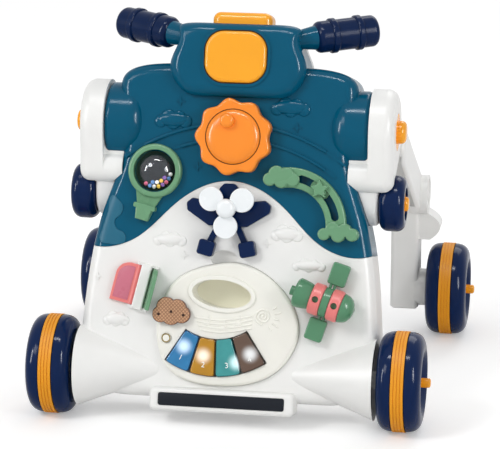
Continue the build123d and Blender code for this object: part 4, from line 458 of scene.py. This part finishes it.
def raise_sheet(shape, thick, edge):
    """Raise a flat sheet to a plate with a softened front edge."""
    front = bmesh.ops.extrude_face_region(shape, geom=shape.faces[:])
    raised = {v for v in front["geom"] if isinstance(v, bmesh.types.BMVert)}
    bmesh.ops.translate(shape, vec=(0, 0, thick), verts=list(raised))
    tops = {f for f in shape.faces if raised.issuperset(f.verts)}
    rim = [e for e in shape.edges
           if raised.issuperset(e.verts) and len(tops.intersection(e.link_faces)) == 1]
    bmesh.ops.bevel(shape, geom=rim, offset=edge, affect="EDGES", segments=2, profile=0.5, material=-1)
    return shape


def rounded_sheet(width, height, corner, segments):
    """A flat sheet with round corners."""
    shape = bmesh.new()
    bmesh.ops.create_grid(shape, x_segments=1, y_segments=1, size=0.5)
    bmesh.ops.scale(shape, vec=(width, height, 1), verts=shape.verts)
    bmesh.ops.bevel(shape, geom=shape.verts[:], offset=corner, affect="VERTICES", segments=segments,
                    profile=0.5, material=-1)
    return shape


def round_disc(radius, thick, edge, sides=48):
    """A flat disc with a softened front edge."""
    shape = bmesh.new()
    bmesh.ops.create_circle(shape, cap_ends=True, segments=sides, radius=radius)
    return raise_sheet(shape, thick, edge)


def curve_shape(name, curve):
    """The bmesh of a curve or a figure."""
    holder = bpy.data.objects.new(name, curve)
    bpy.context.collection.objects.link(holder)
    baked = bpy.data.meshes.new_from_object(holder)
    bpy.data.objects.remove(holder)
    shape = bmesh.new()
    shape.from_mesh(baked)
    bpy.data.meshes.remove(baked)
    return shape


print("trim helpers ready")

# %% [markdown]
# ## Dark strip at the foot
# A dark plate is let into the block at the foot of the panel. It is a plain polypropylene strip, set a
# hair below the block's face. A sheet with four bevelled corners, raised to a plate, is all it takes.

# %% Dark strip
# Polypropylene sheet: dark and even, with a faint waxy sheen.
strip_film = moulded("strip_dark_polypropylene", "#1B1F27", 0.32, depth_mm=0.01, shine=0.15)
STRIP_WIDTH, STRIP_HEIGHT, STRIP_CORNER, STRIP_THICK = 131.0, 13.2, 2.4, 0.7
STRIP_PLACE = (0, -26, 19.2)
strip = raise_sheet(rounded_sheet(STRIP_WIDTH, STRIP_HEIGHT, STRIP_CORNER, 6), STRIP_THICK, 0.2)
add_piece("foot_strip", strip, on_panel(*STRIP_PLACE), [strip_film], "walker")

# %% [markdown]
# ## Balloon rattle
# Under the clear dome lies a dark backing, and a handful of loose beads has run to the low side. The
# CAD model holds the beads as plain balls of one colour, so a fuller handful in several colours takes
# their place.

# %% Balloon backing and beads
# Card is dead matt, so the beads stand out before it. Polystyrene balls each catch a small bright spot.
backing_card = moulded("backing_dark_card", "#0C141E", 0.5, shine=0.05)
BALLOON_U, BALLOON_V, BACKING_R = -82, 208, 20.2
add_piece("balloon_backing", round_disc(BACKING_R, 0.3, 0.1), on_panel(BALLOON_U, BALLOON_V, 0.02),
          [backing_card], "walker")
bead_dyes = [moulded(f"bead_{name}_polystyrene", code, 0.2) for name, code in (
    ("rose", "#E8708F"), ("violet", "#8C62B4"), ("straw", "#F2C64B"), ("white", "#F3F0F2"),
    ("blue", "#5E8FD0"))]
BEAD_R, BEAD_PITCH, BEAD_LIFT, BEAD_STAGGER = 2.1, 4.6, 2.5, 0.4
LOW_SIDE = 22
handful = bmesh.new()
count = 0
for row_r, row_beads in ((16.2, 8), (11.9, 4)):
    for bead in range(row_beads):
        turn = radians(-90 + (bead - (row_beads - 1) / 2) * BEAD_PITCH / row_r * 180 / pi)
        lift = BEAD_LIFT + BEAD_STAGGER * (count % 2)
        spot = Matrix.Translation((row_r * cos(turn), row_r * sin(turn), lift))
        ball = bmesh.ops.create_icosphere(handful, subdivisions=3, radius=BEAD_R, matrix=spot)
        for face in {f for v in ball["verts"] for f in v.link_faces}:
            face.material_index = (count * 3 + bead) % len(bead_dyes)
        count += 1
beads = add_piece("coloured_beads", handful, on_panel(BALLOON_U, BALLOON_V, 0.0, LOW_SIDE), bead_dyes,
                  "walker")
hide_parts("balloon_beads")

# %% [markdown]
# ## Relief on the piano
# The piano's deck carries a low moulded relief: a stave with a few notes that runs towards a spiral
# sun. A stave line is a round rib half sunk in the deck, so a curve with a round bevel, turned into a
# mesh, is the quickest way to it. The spiral is the same rib on a path that winds outwards.

# %% Ribs
DECK = 6.0
RELIEF = DECK + 0.3


def rib(name, points, radius, body, ground=RELIEF, material=cream_abs):
    """A rounded rib along a smooth path of panel points, half sunk in the piano's deck or the panel."""
    path = bpy.data.curves.new(name, "CURVE")
    path.dimensions = "3D"
    path.bevel_depth = radius
    path.bevel_resolution = 2
    path.use_fill_caps = True
    line = path.splines.new("NURBS")
    line.points.add(len(points) - 1)
    for point, (u, v) in zip(line.points, points):
        point.co = (u, v, 0, 1)
    line.order_u = 3
    line.use_endpoint_u = True
    line.resolution_u = 6
    return add_piece(name, curve_shape(name, path), on_panel(0, 0, ground), [material], body)


print("ribs stand on the deck at", RELIEF, "mm")

# %% Stave
LINE_R, LINE_PITCH, LINE_SHIFT = 0.9, 4.2, 2
for row in range(4):
    drop = LINE_PITCH * row
    line_points = [(-33 + LINE_SHIFT * row, 59 - drop), (-15, 56.5 - drop), (5, 57.5 - drop), (27, 63 - drop)]
    rib(f"stave_line_{row}", line_points, LINE_R, "piano")

# %% Spiral sun
SPIRAL_U, SPIRAL_V, SPIRAL_R = 38, 63, 1.0
SPIRAL_START, SPIRAL_GROWTH, SPIRAL_STEPS, SPIRAL_STEP = 0.6, 8.4, 30, 30
spiral = []
for step in range(SPIRAL_STEPS + 1):
    turn = radians(90 + step * SPIRAL_STEP)
    reach = SPIRAL_START + SPIRAL_GROWTH * step / SPIRAL_STEPS
    spiral.append((SPIRAL_U + reach * cos(turn), SPIRAL_V + reach * sin(turn)))
rib("spiral_sun", spiral, SPIRAL_R, "piano")
for ray, angle in enumerate((38, 14, -10, -34, -58)):
    near, far = 12.0, 17.0 + 2.0 * (ray % 2)
    across, up = cos(radians(angle)), sin(radians(angle))
    ends = [(SPIRAL_U + r * across, SPIRAL_V + r * up) for r in (near, (near + far) / 2, far)]
    rib(f"sun_ray_{ray}", ends, LINE_R, "piano")

# %% Notes
NOTE_R, NOTE_TILT, STEM_R = 2.3, 20, 0.8
for note, (u, v) in enumerate(((-20, 52.5), (-4, 48.5), (12, 54.0))):
    head = round_disc(NOTE_R, 1.0, 0.4, sides=24)
    bmesh.ops.scale(head, vec=(1.25, 0.9, 1), verts=head.verts)
    add_piece(f"note_head_{note}", head, on_panel(u, v, DECK - 0.05, NOTE_TILT), [cream_abs],
              "piano")
    rib(f"note_stem_{note}", [(u + NOTE_R, v + up) for up in (0.6, 4.5, 9.5)], STEM_R, "piano")

# %% [markdown]
# ## Pad behind the hand hole
# Through the piano's hand hole one sees the floor of its pocket. It looks cream, so it is given a thin
# cream pad, which the piano would rest on. The pad is paler than the white shell round it, and this pale
# cream is painted light, for light thrown yellowish into the pocket. A disc, stretched to an oval, is enough.

# %% Pocket pad
# Foam: soft, matt and a little yellow, with open pores. Its pale cream is painted light, brighter than the
# shell round it.
pad_painted_light = moulded("pad_cream_painted_light", "#FFFAE4", 0.6, grain_mm=1.5, depth_mm=0.06, shine=0.2)
PAD_HALF_WIDTH, PAD_HALF_HEIGHT = 42, 24
PAD_PLACE, PAD_TILT = (-6, 82, -23.99), -5
pad = round_disc(1.0, 0.3, 0.02)
bmesh.ops.scale(pad, vec=(PAD_HALF_WIDTH, PAD_HALF_HEIGHT, 1), verts=pad.verts)
add_piece("pocket_pad", pad, on_panel(*PAD_PLACE, PAD_TILT), [pad_painted_light], "walker")

# %% [markdown]
# ## Numbers on the keys
# Each key carries a small pale number. Blender's own font gives the figure, which becomes a thin mesh and
# rides on its key.

# %% Key numbers
# Printing ink: a flat, even white.
ink = moulded("number_white_ink", "#F4F6F2", 0.45, drift=0.01)
FAN_U, FAN_V, FAN_START, KEY_ANGLE = -11.0, 95.6, -32.0, 16.5
NUMBER_REACH, NUMBER_SIZE = 86.0, 8.0
for index, colour in enumerate(("blue", "amber", "teal", "brown")):
    angle = FAN_START + KEY_ANGLE * (index + 0.5)
    figure = bpy.data.curves.new(f"figure_{index}", "FONT")
    figure.body = str(index + 1)
    figure.size = NUMBER_SIZE
    figure.align_x = "CENTER"
    figure.align_y = "CENTER"
    figure.extrude = 0.06
    shape = curve_shape(f"figure_{index}", figure)
    u = FAN_U + NUMBER_REACH * sin(radians(angle))
    v = FAN_V - NUMBER_REACH * cos(radians(angle))
    add_piece(f"{colour}_key_number", shape, on_panel(u, v, KEY_TOP + 0.05, angle), [ink],
              f"{colour}_key")

# %% [markdown]
# ## Book page and the small button's ring
# The pink page has a deeper pink panel let into it, with one round corner like the page's own. The round
# button on the piano carries a brassy ring, which is a small circle spun round the button's middle. Three
# dark rivets show through the cloud button.

# %% Page panel
# Pressed film: a deeper, even pink with a soft sheen.
rose_film = moulded("page_rose_film", "#CC7386", 0.28, depth_mm=0.01, shine=0.3)
BOOK_U, BOOK_V, BOOK_TURN = -90, 87.6, -12.5
PAGE_X, PAGE_Y, PAGE_WIDTH, PAGE_HEIGHT, PAGE_CORNER = -19.8, 0.1, 16.4, 35.4, 11.4
page_place = Matrix.Translation((PAGE_X, PAGE_Y, 0)) @ Matrix.Diagonal((PAGE_WIDTH, PAGE_HEIGHT, 1, 1))
page_panel = bmesh.new()
bmesh.ops.create_grid(page_panel, x_segments=1, y_segments=1, size=0.5, matrix=page_place)
corner = [v for v in page_panel.verts if v.co.x < PAGE_X and v.co.y > PAGE_Y]
bmesh.ops.bevel(page_panel, geom=corner, offset=PAGE_CORNER, affect="VERTICES", segments=9, profile=0.5,
                material=-1)
raise_sheet(page_panel, 0.25, 0.1)
add_piece("pink_page_panel", page_panel, on_panel(BOOK_U, BOOK_V, height_of("pink_page") - 0.05, BOOK_TURN),
          [rose_film], "pink_page")

# %% Button ring and rivets
# Lacquer: a warm brassy brown with a soft highlight. Browned steel: nearly black, with a dull glint.
ring_brass = moulded("ring_brassy_lacquer", "#8E7B3C", 0.28, depth_mm=0.01, shine=0.3)
rivet_dark = moulded("rivet_browned_steel", "#3A241C", 0.35, depth_mm=0.01, shine=0.2)
BUTTON_U, BUTTON_V, RING_R, RING_WIRE, RIVET_R = -62, 36, 4.1, 0.7, 1.5
button_ring = bmesh.new()
bmesh.ops.create_circle(button_ring, segments=10, radius=RING_WIRE,
                        matrix=Matrix.Translation((RING_R, 0, 0)) @ Matrix.Rotation(pi / 2, 4, "X"))
bmesh.ops.spin(button_ring, geom=button_ring.edges[:], cent=(0, 0, 0), axis=(0, 0, 1), angle=2 * pi,
               steps=40, use_merge=True)
add_piece("button_ring", button_ring, on_panel(BUTTON_U, BUTTON_V, height_of("mode_button") - 0.3),
          [ring_brass], "mode_button")
for index, (u, v) in enumerate(((-57, 63.5), (-70, 60.5), (-44, 60.5))):
    add_piece(f"cloud_rivet_{index}", round_disc(RIVET_R, 0.3, 0.1, sides=20),
              on_panel(u, v, height_of("cloud_button") - 0.05), [rivet_dark], "cloud_button")

# %% [markdown]
# ## Gaps round the sun's cap and the lamp
# A narrow gap runs round the sun's cap and another round the lamp. Each shows as a dark line on the real
# toy and is too fine to show at this size, so a thin dark ring lies over its mouth, drawn wider than the
# gap. The ring is painted shadow: a dark sheet that stands for the shade inside the gap. It has the look
# of a foam washer, which is a guess. A ring is a flat sheet, a disc for the sun and a rounded rectangle
# for the lamp, with its middle inset and taken out.

# %% Gap rings
# Painted shadow: a brown-black ring that takes no highlight.
gap_painted_shadow = moulded("gap_painted_shadow_sheet", "#3A2416", 0.7, shine=0.1)
GAP_LINE, SHADOW_RING_THICK, SHADOW_RING_SINK = 0.8, 0.25, 0.05


def gap_ring(name, sheet, place, body):
    """Leave a narrow rim of a flat sheet, raise it and lay it over a gap as painted shadow."""
    middle = sheet.faces[:]
    bmesh.ops.inset_region(sheet, faces=middle, thickness=GAP_LINE, use_boundary=True, use_even_offset=True)
    bmesh.ops.delete(sheet, geom=middle, context="FACES")
    add_piece(name, raise_sheet(sheet, SHADOW_RING_THICK, 0.05), place, [gap_painted_shadow], body)


SUN_CAP_R, SUN_V, SUN_TOP = 28.0, 246.0, 18.0
sun_sheet = bmesh.new()
bmesh.ops.create_circle(sun_sheet, cap_ends=True, segments=96, radius=SUN_CAP_R + GAP_LINE)
gap_ring("sun_gap_ring", sun_sheet, on_panel(0, SUN_V, SUN_TOP - SHADOW_RING_SINK), "sun")
LAMP_U, LAMP_V, LAMP_RIM_TOP = -1.0, 328.0, 16.5
LAMP_WIDTH, LAMP_HEIGHT, LAMP_CORNER, LAMP_GAP = 64.0, 53.0, 20.0, 0.4
grow = LAMP_GAP + GAP_LINE
lamp_sheet = rounded_sheet(LAMP_WIDTH + 2 * grow, LAMP_HEIGHT + 2 * grow, LAMP_CORNER + grow, 12)
gap_ring("lamp_gap_ring", lamp_sheet, on_panel(LAMP_U, LAMP_V, LAMP_RIM_TOP - SHADOW_RING_SINK), "walker")

# %% [markdown]
# ## Puffy clouds
# The moulded clouds on the panel are soft cushions. Each is a row of flattened balls that run into one
# another and into one broad cushion, over the plain raised cloud of the CAD model. Two more stand by
# themselves, one low on the left and one beside the bee.

# %% Puffy clouds
# A puff is: shares of the cloud's width and height across, a share of its height up, and its radius.
PUFFS = (
    (-0.5, 0.30, -0.12, 0.30), (-0.14, 0, 0.14, 0.36), (0.15, 0, 0.10, 0.34), (0.5, -0.32, -0.10, 0.32),
    (0, 0, -0.16, 0.34),
)
PUFF_RISE, PUFF_SPREAD, CUSHION_RISE = 2.6, 1.15, 4.8
CUSHION_WIDE, CUSHION_TALL = 0.45, 0.40
for name, u, v, width, height, material, slot in (
    ("teal_cloud_right", 56.0, 279.0, 40.0, 19.0, teal_abs, "teal"),
    ("teal_cloud_left", -66.0, 262.0, 38.0, 19.0, teal_abs, "teal"),
    ("white_cloud_left", -64.0, 138.0, 34.0, 15.0, white_abs, "white_shell"),
    ("white_cloud_right", 58.0, 149.0, 32.0, 17.0, white_abs, "white_shell"),
    ("white_cloud_low", -117.0, 53.0, 27.0, 15.0, white_abs, "white_shell"),
    ("white_cloud_right_low", 82.0, 117.5, 34.0, 13.0, white_abs, "white_shell"),
):
    cushion = bmesh.new()
    for wide, inset, up, puff in PUFFS:
        spot = Matrix.Translation((wide * width + inset * height, up * height, 0))
        puff_r = PUFF_SPREAD * puff * height
        ball = spot @ Matrix.Diagonal((puff_r, puff_r, PUFF_RISE, 1))
        bmesh.ops.create_icosphere(cushion, subdivisions=3, radius=1.0, matrix=ball)
    broad = Matrix.Diagonal((CUSHION_WIDE * width, CUSHION_TALL * height, CUSHION_RISE, 1))
    bmesh.ops.create_icosphere(cushion, subdivisions=4, radius=1.0, matrix=broad)
    add_piece(name, cushion, on_panel(u, v), [material], "walker")

# %% [markdown]
# ## Arches and stem collars
# Two moulded arches cross the sky behind the sun. Their crests are round, so that they catch a bright
# line, and the same rib as on the piano does for them. Each handlebar stem widens to a collar where it
# enters the grip, which hides the grip's inner end. A collar is a plain turned cone.

# %% Arches
ARCH_CENTRE_V, ARCH_CREST, ARCH_R, ARCH_STEPS = 70.0, 1.2, 1.7, 12
for name, radius, start, end in (("arch_rib_high", 190.0, 60, 120), ("arch_rib_low", 174.0, 57, 109)):
    points = []
    for step in range(ARCH_STEPS + 1):
        turn = radians(start + (end - start) * step / ARCH_STEPS)
        points.append((radius * cos(turn), ARCH_CENTRE_V + radius * sin(turn)))
    rib(name, points, ARCH_R, "walker", ARCH_CREST, teal_abs)

# %% Stem collars
STEM_SWEEP, STEM_RISE = radians(28.0), radians(2.9)
STEM_U, STEM_V, STEM_W = 40.0, 346.0, -6.5
COLLAR_START, COLLAR_END, COLLAR_R, COLLAR_END_R = 20.0, 41.0, 9.5, 13.0
for hand, side in (("right", 1), ("left", -1)):
    level = cos(STEM_RISE)
    along = Vector((side * level * cos(STEM_SWEEP), level * sin(STEM_SWEEP), sin(STEM_RISE)))
    root = on_panel(side * STEM_U, STEM_V, STEM_W).translation
    middle = root + along * (COLLAR_START + COLLAR_END) / 2 * MM
    turned = along.to_track_quat("Z", "Y").to_matrix().to_4x4()
    collar = bmesh.new()
    bmesh.ops.create_cone(collar, cap_ends=True, segments=48, radius1=COLLAR_R, radius2=COLLAR_END_R,
                          depth=COLLAR_END - COLLAR_START)
    place = Matrix.Translation(middle) @ turned @ Matrix.Scale(MM, 4)
    add_piece(f"{hand}_stem_collar", collar, place, [teal_abs], "walker")

# %% [markdown]
# ## Step at the panel's left side
# Low on the left the teal moulding rises by a millimetre to a flat step with a wavy edge, which runs on
# round the panel's rounded side. In a mould it would be a shallow spark-eroded pocket, so its face is
# more matt than the panel. Its paler colour is painted light, for the brighter light that the step's face
# catches. Here a filled curve gives the outline, planes slice it into narrow bands so that it can bend, and
# each point is set down on the panel.

# %% Wavy step
# Spark-eroded ABS: duller than the polished panel round it, and painted paler for the light its face catches.
step_painted_light_abs = moulded("teal_abs_spark_eroded_painted_paler", "#1E647E", 0.45, grain_mm=0.9, depth_mm=0.03, shine=0.2)
STEP_RISE, STEP_SINK, STEP_ROUND = 1.1, 0.5, 0.5
STEP_EDGE = (
    (-127, 181), (-120, 176.5), (-115, 170), (-116.5, 162), (-123, 155), (-120.5, 146.5), (-112.5, 142),
    (-111, 134), (-116, 130.6), (-128, 130.4), (-138, 133.5), (-136, 146), (-131, 164),
)
outline = bpy.data.curves.new("wavy_step", "CURVE")
outline.dimensions = "2D"
outline.fill_mode = "BOTH"
line = outline.splines.new("BEZIER")
line.bezier_points.add(len(STEP_EDGE) - 1)
for point, (u, v) in zip(line.bezier_points, STEP_EDGE):
    point.co = (u, v, 0)
    point.handle_left_type = point.handle_right_type = "AUTO"
line.use_cyclic_u = True
line.resolution_u = 5
ledge = raise_sheet(curve_shape("wavy_step", outline), STEP_RISE + STEP_SINK, STEP_ROUND)
for cut in range(-138, -118, 2):
    bmesh.ops.bisect_plane(ledge, geom=ledge.verts[:] + ledge.edges[:] + ledge.faces[:],
                           plane_co=(cut, 0, 0), plane_no=(1, 0, 0))
print("wavy step sliced into", len(ledge.faces), "faces")

# %% Lay the step on the panel
ABOVE = 50
ground = bmesh.new()
ground.from_mesh(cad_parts["upper_panel"].data)
bmesh.ops.transform(ground, matrix=on_panel(0, 0).inverted(), verts=ground.verts)
surface = BVHTree.FromBMesh(ground)
ground.free()
for vert in ledge.verts:
    hit = surface.ray_cast(Vector((vert.co.x, vert.co.y, ABOVE)), Vector((0, 0, -1)))[0]
    vert.co.z += hit.z - STEP_SINK
add_piece("wavy_step", ledge, on_panel(0, 0), [step_painted_light_abs], "walker")
